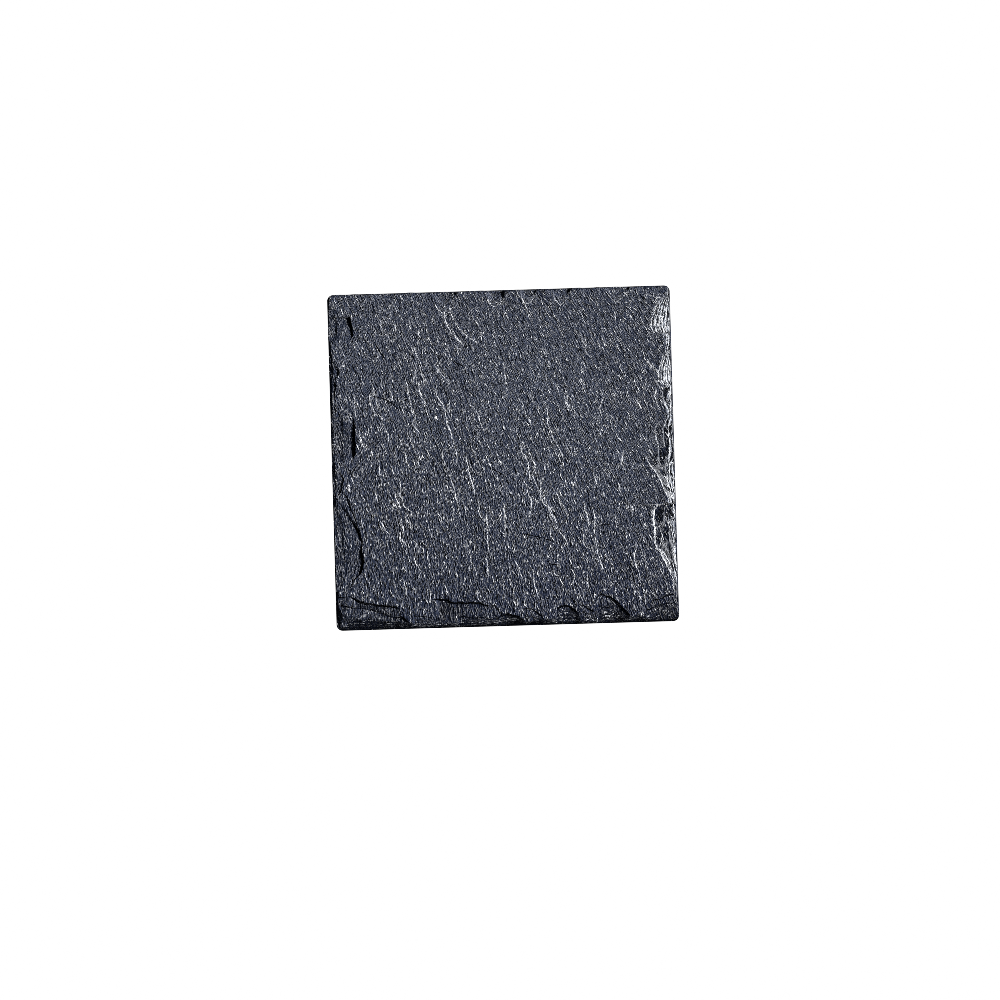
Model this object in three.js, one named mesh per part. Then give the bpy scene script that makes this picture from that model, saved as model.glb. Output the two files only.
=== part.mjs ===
// A square slab of natural slate, of coaster size: one stone with a riven top face and hand-dressed edges.
// Millimetres. X runs right, Y away from the viewer and Z up. The origin is the middle of the underside.
import * as THREE from "three";

const { lerp } = THREE.MathUtils;

// Driving dimensions
const WIDTH = 100;
const DEPTH = 98;
const FACE_HEIGHT = 5.4; // underside to the mean level of the riven face
const CORNER = 1.8; // radius of the corners in plan
const THINNEST_RIM = 0.9; // least height of the wall that the dressing leaves standing
const SLATE = { color: 0x484d59, roughness: 0.62, metalness: 0 };

// The grain leans from the Y axis by this slope at the middle of the slab, and most at the far right corner.
const GRAIN_LEAN = 0.32;
const GRAIN_CURL = 0.0022; // per millimetre of Y, how much the lean grows
const GRAIN_TWIST = 0.0025; // per millimetre of X, how much the lean grows

// The riven face: broad swells, and ridges drawn out along the grain
const SWELL = { height: 0.3, width: 38, length: 52, seed: 11 };
const RIDGE = { height: 0.16, width: 5.2, length: 22, seed: 23 };

// Flake scars that stand out, each struck off one edge. outline has points in order along that edge, each as
// [place along the edge, reach in from it, height of the step down there]. fall is the further drop from the
// outline out to the rim.
const SCARS = [
  {
    side: "left",
    fall: 0.5,
    outline: [[35.4, 6.8, 0], [36.8, 7.1, 0.31], [39.5, 7.05, 0.36], [40, 6.8, 0.5], [42.1, 6.75, 0.5],
      [42.4, 6.7, 0.07], [44.6, 5.6, 0]],
  },
  {
    side: "left",
    fall: 0.5,
    outline: [[18.5, 1.2, 0], [20, 1.7, 0.21], [24.4, 1.9, 0.28], [25, 2.7, 0.42], [26, 3, 0.5],
      [27.5, 2.6, 0.5], [28, 1.9, 0.14], [30, 1.2, 0]],
  },
  {
    side: "left",
    fall: 0.7,
    outline: [[0.2, 6.2, 0], [1.4, 6.6, 0.14], [2.2, 7, 0.42], [4, 7, 0.56], [8.6, 6.9, 0.56],
      [9.8, 6.75, 0.34], [12, 6.8, 0.17], [13.4, 6.6, 0]],
  },
  {
    side: "left",
    fall: 0.7,
    outline: [[-11.3, 1.8, 0], [-9, 2.2, 0.28], [-7.4, 3, 0.49], [-4.6, 3.3, 0.42], [-2.5, 2.4, 0]],
  },
  {
    side: "left",
    fall: 0.2,
    outline: [[-21, 7.9, 0], [-18, 7.1, 0.11], [-15.8, 6.2, 0.17], [-13, 5.2, 0.21], [-10, 4, 0.14],
      [-9, 3.2, 0.07]],
  },
  {
    side: "left",
    fall: 0.5,
    outline: [[-37.2, 3.8, 0], [-36, 4.6, 0.11], [-34, 6.1, 0.22], [-32.5, 7.4, 0.34], [-31, 8.2, 0.39],
      [-29, 8.5, 0.48], [-27, 8.1, 0.48], [-24, 8.2, 0.2], [-22.8, 8.3, 0.28], [-20.5, 7.4, 0.35],
      [-17.5, 6, 0.39], [-15, 4.4, 0.39], [-13, 3, 0.31], [-10.6, 1.6, 0.14]],
  },
  {
    side: "left",
    fall: 1,
    outline: [[-49, 4.6, 0.49], [-47, 4, 0.49], [-44.8, 2.6, 0.49], [-42.5, 1, 0.42],
      [-41.4, 0.4, 0.28]],
  },
  {
    side: "near",
    fall: 0.3,
    outline: [[-49.6, 9.9, 0.14], [-46, 9.9, 0.17], [-44.6, 9.3, 0.28], [-43, 8.3, 0.45],
      [-40, 7.8, 0.45], [-37, 7.1, 0.45], [-34, 6.8, 0.42], [-32.4, 6.4, 0.28], [-30.8, 5.8, 0]],
  },
  {
    side: "near",
    fall: 0.7,
    outline: [[-48.5, 7.7, 0.49], [-45, 6.8, 0.53], [-42.3, 6.6, 0.59], [-40, 6.1, 0.7], [-38, 5.5, 0.7],
      [-36, 4.9, 0.59], [-34.2, 4.1, 0.5], [-30.5, 3.4, 0.42], [-29.3, 2.4, 0.28], [-28.5, 1.9, 0]],
  },
  {
    side: "near",
    fall: 1.6,
    outline: [[-47, 2.8, 1.12], [-42, 2.8, 1.12], [-38, 2.5, 1.12], [-33, 2.4, 0.84], [-31, 2, 0.7]],
  },
  {
    side: "near",
    fall: 0.4,
    outline: [[-22.4, 8.2, 0], [-20.8, 8.5, 0.14], [-19.8, 8.4, 0.42], [-17.1, 8.2, 0.42],
      [-16.6, 7.5, 0.42], [-14, 7.2, 0.42], [-11, 7.1, 0.34], [-8, 6.9, 0.34], [-6, 6.3, 0.22],
      [-4, 6.1, 0.14], [-2.8, 5, 0.17], [-2, 4, 0.14], [-1.5, 3.2, 0]],
  },
  {
    side: "near",
    fall: 1.3,
    outline: [[-27.5, 3.9, 0.14], [-22, 3.2, 0.21], [-19, 3, 0.35], [-17, 2.2, 0.28],
      [-16.5, 1.6, 0]],
  },
  {
    side: "near",
    fall: 1.4,
    outline: [[-13.8, 3.6, 0.42], [-10, 2.9, 0.49], [-8.5, 3.2, 0.42], [-5, 2.5, 0.56], [-3, 2.7, 0.42],
      [0, 2.2, 0.28]],
  },
  {
    side: "near",
    fall: 2.2,
    outline: [[-2.8, 2.6, 0], [-2.4, 3.3, 0.42], [0, 3.6, 0.56], [2.5, 3.1, 0.56], [4.3, 2.1, 0.42],
      [5.2, 1.5, 0]],
  },
  {
    side: "near",
    fall: 0.8,
    outline: [[2.5, 4.2, 0], [5, 5, 0.07], [7.3, 4.8, 0.22], [9.5, 3.2, 0.28], [10.5, 2.2, 0]],
  },
  {
    side: "near",
    fall: 1.6,
    outline: [[14.1, 1.5, 0.14], [14.4, 4.6, 0.42], [15.3, 5.4, 0.35], [17, 5.5, 0.35], [18.5, 5.2, 0.35],
      [19.7, 4.2, 0.42], [20.6, 2.9, 0.42], [21.3, 1.8, 0]],
  },
  {
    side: "near",
    fall: 1.3,
    outline: [[20.2, 5.4, 0], [22, 5.4, 0.17], [24, 4.4, 0.28], [25.5, 3.1, 0.35], [26.6, 1.6, 0]],
  },
  {
    side: "near",
    fall: 0.9,
    outline: [[24.8, 3, 0], [25.1, 6, 0.21], [26.5, 8.3, 0.17], [27.3, 8.7, 0.22], [30, 7.8, 0.36],
      [32, 6.1, 0.42], [33.5, 4.3, 0.45], [35, 2.7, 0.42], [35.8, 1.8, 0]],
  },
  {
    side: "near",
    fall: 1.8,
    outline: [[26, 3.6, 0.42], [28, 5.1, 0.56], [31, 4.1, 0.59], [33, 2.8, 0.56], [34, 2, 0.42]],
  },
  {
    side: "near",
    fall: 0.5,
    outline: [[41, 5.2, 0], [42.5, 6.3, 0.17], [46, 7.4, 0.25], [48, 8, 0.25], [50, 7.4, 0.17]],
  },
  {
    side: "near",
    fall: 1.1,
    outline: [[40, 2.5, 0], [40.5, 3.6, 0.28], [43, 4.7, 0.42], [46, 5.4, 0.42], [48, 5.7, 0.42],
      [50, 5.4, 0.35]],
  },
  {
    side: "right",
    fall: 1.9,
    outline: [[34.4, 1.8, 0], [34.8, 3, 0.06], [35.2, 5, 0.12], [36, 5.6, 0.14], [37, 6, 0.17],
      [39, 5.5, 0.17], [41, 5, 0.14], [43, 3.9, 0.12], [44.5, 2.9, 0.07], [45.7, 1.6, 0]],
  },
  {
    side: "right",
    fall: 1.8,
    outline: [[19.5, 2, 0], [20.2, 3.4, 0.12], [21, 4.1, 0.17], [23, 4.1, 0.19], [26, 3.6, 0.17],
      [28.5, 2.5, 0.06], [30, 1.7, 0]],
  },
  {
    side: "right",
    fall: 0.8,
    outline: [[12.5, 3.2, 0], [13.5, 4.5, 0.1], [16, 5.1, 0.12], [18, 5.3, 0.1], [19.2, 4.6, 0]],
  },
  {
    side: "right",
    fall: 1,
    outline: [[-1, 3, 0], [0.5, 4, 0.06], [2, 4.6, 0.12], [5, 5.4, 0.12], [7.4, 5.6, 0.1],
      [10.5, 3, 0]],
  },
  {
    side: "right",
    fall: 0.9,
    outline: [[-16, 1.2, 0], [-15, 1.7, 0.12], [-12, 2.8, 0.24], [-10, 3.6, 0.26], [-7.5, 4.5, 0.26],
      [-5, 5.9, 0.26], [-2.5, 7.7, 0.14], [-1, 8.3, 0.07], [1.5, 8.9, 0]],
  },
  {
    side: "right",
    fall: 1.3,
    outline: [[-13, 1.5, 0], [-11, 2.1, 0.48], [-8, 3, 0.54], [-6, 3.5, 0.48], [-4, 3.9, 0.42],
      [-1.5, 4.4, 0]],
  },
  {
    side: "right",
    fall: 0.8,
    outline: [[-39, 1, 0], [-36.5, 1.7, 0.18], [-34, 2.6, 0.24], [-31.5, 3.7, 0.24], [-29, 5.1, 0.24],
      [-27.7, 6.2, 0.3], [-26, 6.5, 0.36], [-22, 6.5, 0.36], [-20, 6.8, 0.36], [-17.5, 6.8, 0.36],
      [-15.8, 6.3, 0.36], [-15, 5.3, 0.38], [-14.7, 4, 0.38], [-14.5, 1, 0.36]],
  },
  {
    side: "right",
    fall: 0.8,
    outline: [[-36, 1.2, 0], [-34, 2, 0.48], [-31.5, 2.9, 0.6], [-29.5, 4, 0.6], [-27.5, 5.4, 0.5],
      [-26, 5, 0.6], [-24, 4.5, 0.72], [-22, 5, 0.66], [-20, 5.8, 0.5], [-18, 5.4, 0]],
  },
  {
    side: "right",
    fall: 1.5,
    outline: [[-29, 1.1, 0], [-27, 1.5, 1.08], [-24, 1.7, 1.2], [-22, 2.4, 1.2], [-20, 2.6, 1.08],
      [-18.5, 2.3, 0]],
  },
  {
    side: "right",
    fall: 1.6,
    outline: [[-42.5, 0.8, 0], [-41, 1.2, 0.12], [-38, 1.6, 0.12], [-36, 1.2, 0]],
  },
  {
    side: "far",
    fall: 0.5,
    outline: [[-35.6, 1, 0], [-34.8, 3.6, 0.1], [-33, 5.4, 0.12], [-31.2, 3.6, 0.1], [-30, 1.4, 0]],
  },
  {
    side: "far",
    fall: 0.6,
    outline: [[-19.5, 2, 0], [-18, 5, 0.1], [-15.5, 7.2, 0.12], [-13.5, 5, 0.1], [-12, 2, 0]],
  },
  {
    side: "far",
    fall: 0.9,
    outline: [[-3.2, 1, 0], [-2.9, 3, 0.14], [-2, 4.5, 0.17], [-1, 5.2, 0.14], [0.3, 3.8, 0.12],
      [1.2, 4.6, 0.12], [1.7, 2, 0]],
  },
  {
    side: "far",
    fall: 0.8,
    outline: [[6.2, 1, 0], [7, 3.4, 0.12], [8.5, 4.6, 0.14], [10, 3, 0.12], [11.2, 1.4, 0]],
  },
  {
    side: "far",
    fall: 0.9,
    outline: [[15.3, 1.4, 0], [16.5, 3.6, 0.12], [18, 5, 0.14], [20, 3.2, 0.12], [21, 1.4, 0]],
  },
  {
    side: "far",
    fall: 0.8,
    outline: [[31, 1, 0], [32.2, 2.7, 0.14], [34, 4.6, 0.17], [36, 3.3, 0.14], [38, 1.4, 0.06]],
  },
  {
    side: "far",
    fall: 0.9,
    outline: [[41, 2.6, 0], [44, 3, 0.12], [46, 3.6, 0.14], [48, 3.8, 0.14], [50, 3.6, 0.12]],
  },
];

// Small flakes of the dressing, side by side all along each edge: their mean reach, and how far they fall
const DRESSING = {
  left: { reach: 1.9, fall: 0.5, seed: 41 },
  near: { reach: 2.1, fall: 2.1, seed: 42 },
  right: { reach: 2.1, fall: 2.2, seed: 43 },
  far: { reach: 0.7, fall: 0.6, seed: 44 },
};
const FLAKE_PITCH = 4.2; // mean distance from one small flake to the next
const FLAKE_BEND = 1.3; // how much steeper a scar gets towards the rim
// Outline of a small flake: points as shares of its half width along the edge and of its reach
const FLAKE_SHAPE = [[-1, 0], [-0.9, 0.5], [-0.6, 0.85], [0, 1], [0.6, 0.85], [0.9, 0.5], [1, 0]];

// The side wall leans in from its sharp lower edge, unevenly
const WALL = { lean: 0.28, ragged: 0.2, pitch: 2.6, seed: 61 };
const WALL_LOOPS = 2; // bands of faces from the underside up to the rim

// Mesh density
const RIM_ZONE = 8.5; // width of the fine rings round the edge
const RINGS = 7;
const RING_GROWTH = 1.35; // each ring is wider than the one outside it
const CELLS = 40; // squares along each side of the face inside the rings; the rings have twice as many

// A number from 0 to 1 that is fixed for each lattice point and seed.
function lattice(column, row, seed) {
  let bits = Math.imul(column, 374761393) + Math.imul(row, 668265263) + Math.imul(seed, 1442695041);
  bits = Math.imul(bits ^ (bits >>> 13), 1274126177);
  return ((bits ^ (bits >>> 16)) >>> 0) / 4294967296;
}

// Smooth noise from -1 to 1: lattice values blended with a quintic.
function noise(u, v, seed) {
  const column = Math.floor(u);
  const row = Math.floor(v);
  const ease = (t) => t * t * t * (t * (6 * t - 15) + 10);
  const across = ease(u - column);
  const along = ease(v - row);
  const near = lerp(lattice(column, row, seed), lattice(column + 1, row, seed), across);
  const far = lerp(lattice(column, row + 1, seed), lattice(column + 1, row + 1, seed), across);
  return 2 * lerp(near, far, along) - 1;
}

// Distance across the grain, whose curved lines lean more towards the far right corner.
const acrossGrain = (x, y) => x + GRAIN_LEAN * y + GRAIN_CURL * y * y + GRAIN_TWIST * x * y;

function faceHeight(x, y) {
  const across = acrossGrain(x, y);
  const swell = SWELL.height * noise(across / SWELL.width, y / SWELL.length, SWELL.seed);
  const ridge = RIDGE.height * noise(across / RIDGE.width, y / RIDGE.length, RIDGE.seed);
  return FACE_HEIGHT + (swell + ridge) / 2;
}

// How far a point lies along an edge, and how far in from it.
const EDGE_PLACES = {
  left: (x, y) => [y, WIDTH / 2 + x],
  right: (x, y) => [y, WIDTH / 2 - x],
  near: (x, y) => [x, DEPTH / 2 + y],
  far: (x, y) => [x, DEPTH / 2 - y],
};

// Depth of one scar below the face, at a point s along its edge and t in from it. Between two points of the
// outline, the reach and the step are in between theirs.
function scarDepth({ outline, fall }, s, t) {
  const next = outline.findIndex(([place]) => place > s);
  if (next < 1) return 0;
  const [before, after] = [outline[next - 1], outline[next]];
  const along = (s - before[0]) / (after[0] - before[0]);
  const reach = lerp(before[1], after[1], along);
  const step = lerp(before[2], after[2], along);
  return t < reach ? step + fall * (1 - t / reach) ** FLAKE_BEND : 0;
}

// The row of small flakes along one edge, as scars with no step down at their outline.
function dressingScars(side) {
  const { reach, fall, seed } = DRESSING[side];
  const length = side === "left" || side === "right" ? DEPTH : WIDTH;
  const count = Math.round(length / FLAKE_PITCH);
  return Array.from({ length: count + 1 }, (_, i) => {
    const peak = -length / 2 + (i * length) / count + FLAKE_PITCH * 0.35 * (lattice(i, 1, seed) - 0.5);
    const half = FLAKE_PITCH * (0.75 + 0.5 * lattice(i, 2, seed));
    const ownReach = reach * (0.75 + 0.5 * lattice(i, 3, seed));
    return {
      side,
      fall: fall * (0.85 + 0.3 * lattice(i, 4, seed)),
      outline: FLAKE_SHAPE.map(([along, inward]) => [peak + half * along, ownReach * inward, 0]),
    };
  });
}

const ALL_SCARS = [...SCARS, ...Object.keys(DRESSING).flatMap(dressingScars)];

// Height of the top of the slab: the riven face, or the deepest scar there.
function topHeight(x, y) {
  const depths = ALL_SCARS.map((scar) => scarDepth(scar, ...EDGE_PLACES[scar.side](x, y)));
  return Math.max(faceHeight(x, y) - Math.max(...depths), THINNEST_RIM);
}

// Moves a point of the square-cornered plan to the round-cornered one. In each corner, squares round the
// corner's centre become arcs of the same size.
function roundCorner(x, y) {
  const inX = Math.abs(x) - (WIDTH / 2 - CORNER);
  const inY = Math.abs(y) - (DEPTH / 2 - CORNER);
  if (inX <= 0 || inY <= 0) return [x, y];
  const scale = Math.max(inX, inY) / Math.hypot(inX, inY);
  return [Math.sign(x) * (Math.abs(x) + inX * (scale - 1)), Math.sign(y) * (Math.abs(y) + inY * (scale - 1))];
}

// Points of a loop this far in from the edge, counter-clockwise from the near left corner.
function loopPlaces(inset, perSide) {
  const halfX = WIDTH / 2 - inset;
  const halfY = DEPTH / 2 - inset;
  const corners = [[-halfX, -halfY], [halfX, -halfY], [halfX, halfY], [-halfX, halfY]];
  return corners.flatMap(([x0, y0], side) => {
    const [x1, y1] = corners[(side + 1) % corners.length];
    return Array.from({ length: perSide }, (_, i) =>
      roundCorner(lerp(x0, x1, i / perSide), lerp(y0, y1, i / perSide)),
    );
  });
}

const positions = [];
const triangles = [];

function addPoint(x, y, z) {
  positions.push(x, y, z);
  return positions.length / 3 - 1;
}

const addTopPoint = ([x, y]) => addPoint(x, y, topHeight(x, y));

// Where a point of the lower edge comes to, this share of the way up the wall.
function wallPlace([x, y], share) {
  const pull = share * (WALL.lean + WALL.ragged * noise(x / WALL.pitch, y / WALL.pitch + share, WALL.seed));
  const inward = 1 - (2 * pull) / WIDTH;
  return [x * inward, y * inward];
}

// Joins two loops of the same length. The inner one lies to the left of the outer one's direction.
function joinLoops(outer, inner) {
  outer.forEach((a, i) => {
    const next = (i + 1) % outer.length;
    triangles.push(a, outer[next], inner[next], a, inner[next], inner[i]);
  });
}

// Joins a loop to an inner one with half as many points: three triangles to each inner edge.
function joinHalfLoop(outer, inner) {
  inner.forEach((a, i) => {
    const b = inner[(i + 1) % inner.length];
    const first = outer[2 * i];
    const middle = outer[2 * i + 1];
    const last = outer[(2 * i + 2) % outer.length];
    triangles.push(first, middle, a, middle, b, a, middle, last, b);
  });
}

// The middle of the face: a square grid. Returns its outer points as a loop.
function addFaceGrid(inset) {
  const rows = Array.from({ length: CELLS + 1 }, (_, j) =>
    Array.from({ length: CELLS + 1 }, (_, i) =>
      addTopPoint([
        (WIDTH / 2 - inset) * ((2 * i) / CELLS - 1),
        (DEPTH / 2 - inset) * ((2 * j) / CELLS - 1),
      ]),
    ),
  );
  for (let j = 0; j < CELLS; j++)
    for (let i = 0; i < CELLS; i++) {
      const [a, b] = [rows[j][i], rows[j][i + 1]];
      const [d, c] = [rows[j + 1][i], rows[j + 1][i + 1]];
      triangles.push(a, b, c, a, c, d);
    }
  const near = rows[0].slice(0, CELLS);
  const right = rows.slice(0, CELLS).map((row) => row[CELLS]);
  const far = rows[CELLS].slice(1).reverse();
  const left = rows.slice(1).map((row) => row[0]).reverse();
  return [...near, ...right, ...far, ...left];
}

// The wall, from the sharp lower edge up to the rim
const edgePlaces = loopPlaces(0, 2 * CELLS);
const loops = Array.from({ length: WALL_LOOPS + 1 }, (_, k) =>
  edgePlaces.map((place) => {
    const [rimX, rimY] = wallPlace(place, 1);
    const share = k / WALL_LOOPS;
    return addPoint(...wallPlace(place, share), share * topHeight(rimX, rimY));
  }),
);

// The top: rings of growing width in from the rim, then the grid
for (let k = 1; k <= RINGS; k++)
  loops.push(loopPlaces(RIM_ZONE * (k / RINGS) ** RING_GROWTH, 2 * CELLS).map(addTopPoint));
loops.slice(1).forEach((inner, k) => joinLoops(loops[k], inner));
joinHalfLoop(loops.at(-1), addFaceGrid(RIM_ZONE + (WIDTH / 2 - RIM_ZONE) / CELLS));

// The flat underside
const base = loops[0];
const basePlan = edgePlaces.map(([x, y]) => new THREE.Vector2(x, y));
for (const [a, b, c] of THREE.ShapeUtils.triangulateShape(basePlan, []))
  triangles.push(base[a], base[c], base[b]);

const geometry = new THREE.BufferGeometry();
geometry.setAttribute("position", new THREE.Float32BufferAttribute(positions, 3));
geometry.setIndex(triangles);
geometry.computeVertexNormals();

const slab = new THREE.Mesh(geometry, new THREE.MeshStandardMaterial({ ...SLATE, flatShading: true }));
slab.name = "slab";

const part = new THREE.Group();
part.add(slab);

export default part;
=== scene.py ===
# %% [markdown]
# A slab of natural slate, of the kind used as a coaster, photographed from straight above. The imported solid
# gives its true size. This lesson builds the finished stone over it: the riven face with its slanting
# grain, the flakes struck off the edges, the layered side wall and the rough underside. They are one closed
# mesh whose height is worked out with numpy. Lengths are in millimetres until the mesh is made.

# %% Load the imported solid
import math

import bpy
import numpy as np
from mathutils import Euler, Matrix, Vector


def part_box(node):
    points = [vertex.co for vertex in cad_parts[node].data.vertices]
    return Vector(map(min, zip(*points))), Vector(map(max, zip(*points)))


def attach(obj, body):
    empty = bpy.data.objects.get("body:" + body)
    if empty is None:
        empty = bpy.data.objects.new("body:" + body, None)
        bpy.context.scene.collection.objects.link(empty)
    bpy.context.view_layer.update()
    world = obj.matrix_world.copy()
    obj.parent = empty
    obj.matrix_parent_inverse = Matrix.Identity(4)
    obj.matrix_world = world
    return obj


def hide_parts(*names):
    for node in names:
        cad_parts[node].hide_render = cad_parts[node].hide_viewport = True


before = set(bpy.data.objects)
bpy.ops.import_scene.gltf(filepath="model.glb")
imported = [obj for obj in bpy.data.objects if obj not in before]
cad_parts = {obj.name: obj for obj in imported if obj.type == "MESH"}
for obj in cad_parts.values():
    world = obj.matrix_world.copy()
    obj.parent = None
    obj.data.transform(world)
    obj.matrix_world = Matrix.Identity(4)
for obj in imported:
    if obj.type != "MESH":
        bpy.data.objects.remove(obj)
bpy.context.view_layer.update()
MM = 0.001  # one millimetre in metres
low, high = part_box("slab")
HALF_X = (high[0] - low[0]) / 2 / MM
HALF_Y = (high[1] - low[1]) / 2 / MM
print(f"the slab's outline is {2 * HALF_X:.1f} by {2 * HALF_Y:.1f} mm")

# %% [markdown]
# Every irregularity of the stone comes from one kind of noise: a fixed number for each point of a lattice,
# blended smoothly in between. Blender's own textures could displace the mesh as well, but heights that are
# worked out here can be measured, and combined with the scars, before there is a mesh. This noise comes out
# the same on every run. Layers of it at falling sizes make a crumpled surface, and stretching it one way
# draws the crumples out into streaks.


# %% Smooth noise
def lattice(column, row, seed):
    """A fixed number from 0 to 1 for each lattice point: the bits of its place, mixed twice."""
    column, row = np.asarray(column, np.int64), np.asarray(row, np.int64)
    bits = (column * 374761393 + row * 668265263 + seed * 1442695041) & 0xFFFFFFFF
    bits = ((bits ^ ((bits >> 13) & 0x7FFFF)) * 1274126177) & 0xFFFFFFFF
    return ((bits ^ (bits >> 16)) & 0xFFFFFFFF) / 4294967296


def noise(u, v, seed):
    """Noise from -1 to 1: the four lattice numbers round a point, blended by 6t^5 - 15t^4 + 10t^3."""
    column, row = np.floor(u), np.floor(v)
    across, along = (t * t * t * (t * (6 * t - 15) + 10) for t in (u - column, v - row))
    corner = [[lattice(column + i, row + j, seed) for i in (0, 1)] for j in (0, 1)]
    near, far = (left + (right - left) * across for left, right in corner)
    return 2 * (near + (far - near) * along) - 1


def layers(u, v, seed, count, fade=0.5):
    """Noise added up in layers, each half the size of the one before and fade times as strong."""
    strengths = fade ** np.arange(count)
    total = sum(s * noise(u * 2**k, v * 2**k, seed + k) for k, s in enumerate(strengths))
    return total / strengths.sum()


def smooth_step(t):
    """0 below 0, 1 above 1, and an S-shaped curve between."""
    t = np.clip(t, 0, 1)
    return t * t * (3 - 2 * t)


sample = noise(*np.meshgrid(np.arange(0, 40, 0.37), np.arange(0, 40, 0.41)), seed=1)
print(f"noise runs from {sample.min():.2f} to {sample.max():.2f}")

# %% [markdown]
# Slate splits along its cleavage, and the split face keeps a grain: long ripples and broken edges of very
# thin layers, all drawn out in one direction. Here the grain leans to the left going away, and more so in
# the far right quarter. One formula gives the distance across the grain for any point, and every ripple is
# drawn on it. Turning a texture would give a straight grain, and the real one curves.

# %% The grain's direction
GRAIN_LEAN = 0.32  # slope of the grain from the Y axis at the middle
GRAIN_CURL = 0.0022  # per mm of Y, how much the lean grows
GRAIN_TWIST = 0.0025  # per mm of X, how much the lean grows


def across_grain(x, y):
    """Distance across the grain: x plus a lean, a curl and a twist, so that equal distances are curves."""
    return x + GRAIN_LEAN * y + GRAIN_CURL * y * y + GRAIN_TWIST * x * y


print(f"the grain leans by {math.degrees(math.atan(GRAIN_LEAN)):.0f} degrees at the middle")

# %% [markdown]
# The face has relief on four scales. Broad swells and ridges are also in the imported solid. On them lie the
# crinkles, about 1 mm apart and a few mm long, and the layer edges: steps where one thin leaf of slate ends
# and the next begins. A slow field rounded to whole layers gives such steps, with edges that follow its
# contours, as the real ones do. Sculpting could give them too, but not at the same places on every run.

# %% The riven face
FACE_HEIGHT = 5.4  # mm from the underside to the mean level of the face
SWELL = dict(height=0.3, width=38, length=52, seed=11)
RIDGE = dict(height=0.16, width=5.2, length=22, seed=23)
CRINKLE = dict(height=0.03, width=0.8, length=1.8, seed=31)
WAVINESS = dict(height=0.35, width=3.1, length=4.3, seed=71)  # how the crinkles wander sideways
LEAF = dict(thickness=0.1, width=9, length=26, seed=47)
LEAF_STEPS = 4.5  # leaves that come and go over the height of the slow field
LEAF_RAMP = 0.18  # share of a leaf's width that its edge takes
LEAF_LAYERS, LEAF_FADE = 4, 0.55  # how finely the leaves' outlines are broken up
LEAF_PARTS = dict(width=6, length=14, contrast=1.2, seed=56)  # the patches in which their edges show


def ripple(across, along, kind, count=1):
    """Noise of the given height, stretched to the given width across the grain and length along it."""
    return kind["height"] * layers(across / kind["width"], along / kind["length"], kind["seed"], count)


def leaf_steps(across, along):
    """Height of the leaves: a slow field less its whole leaves, so a slope that drops at each steep edge."""
    u, v = across / LEAF["width"], along / LEAF["length"]
    field = LEAF_STEPS * layers(u, v, LEAF["seed"], LEAF_LAYERS, LEAF_FADE)
    part = field - np.floor(field)
    edge = smooth_step((part - (1 - LEAF_RAMP)) / LEAF_RAMP)
    patches = noise(across / LEAF_PARTS["width"], along / LEAF_PARTS["length"], LEAF_PARTS["seed"])
    return LEAF["thickness"] * (part - edge) * smooth_step(0.5 + LEAF_PARTS["contrast"] * patches)


def face_height(x, y):
    """Height of the riven face: mean level, swells and ridges, crinkles and leaf edges."""
    across = across_grain(x, y)
    coarse = (ripple(across, y, SWELL) + ripple(across, y, RIDGE)) / 2
    wavy = across + ripple(x, y, WAVINESS, 2)
    return FACE_HEIGHT + coarse + ripple(wavy, y, CRINKLE, 2) + leaf_steps(wavy, y)


sample = face_height(*np.meshgrid(np.arange(-40, 40, 0.7), np.arange(-40, 40, 0.7)))
print(f"the face is {sample.min():.2f} to {sample.max():.2f} mm high")
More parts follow.
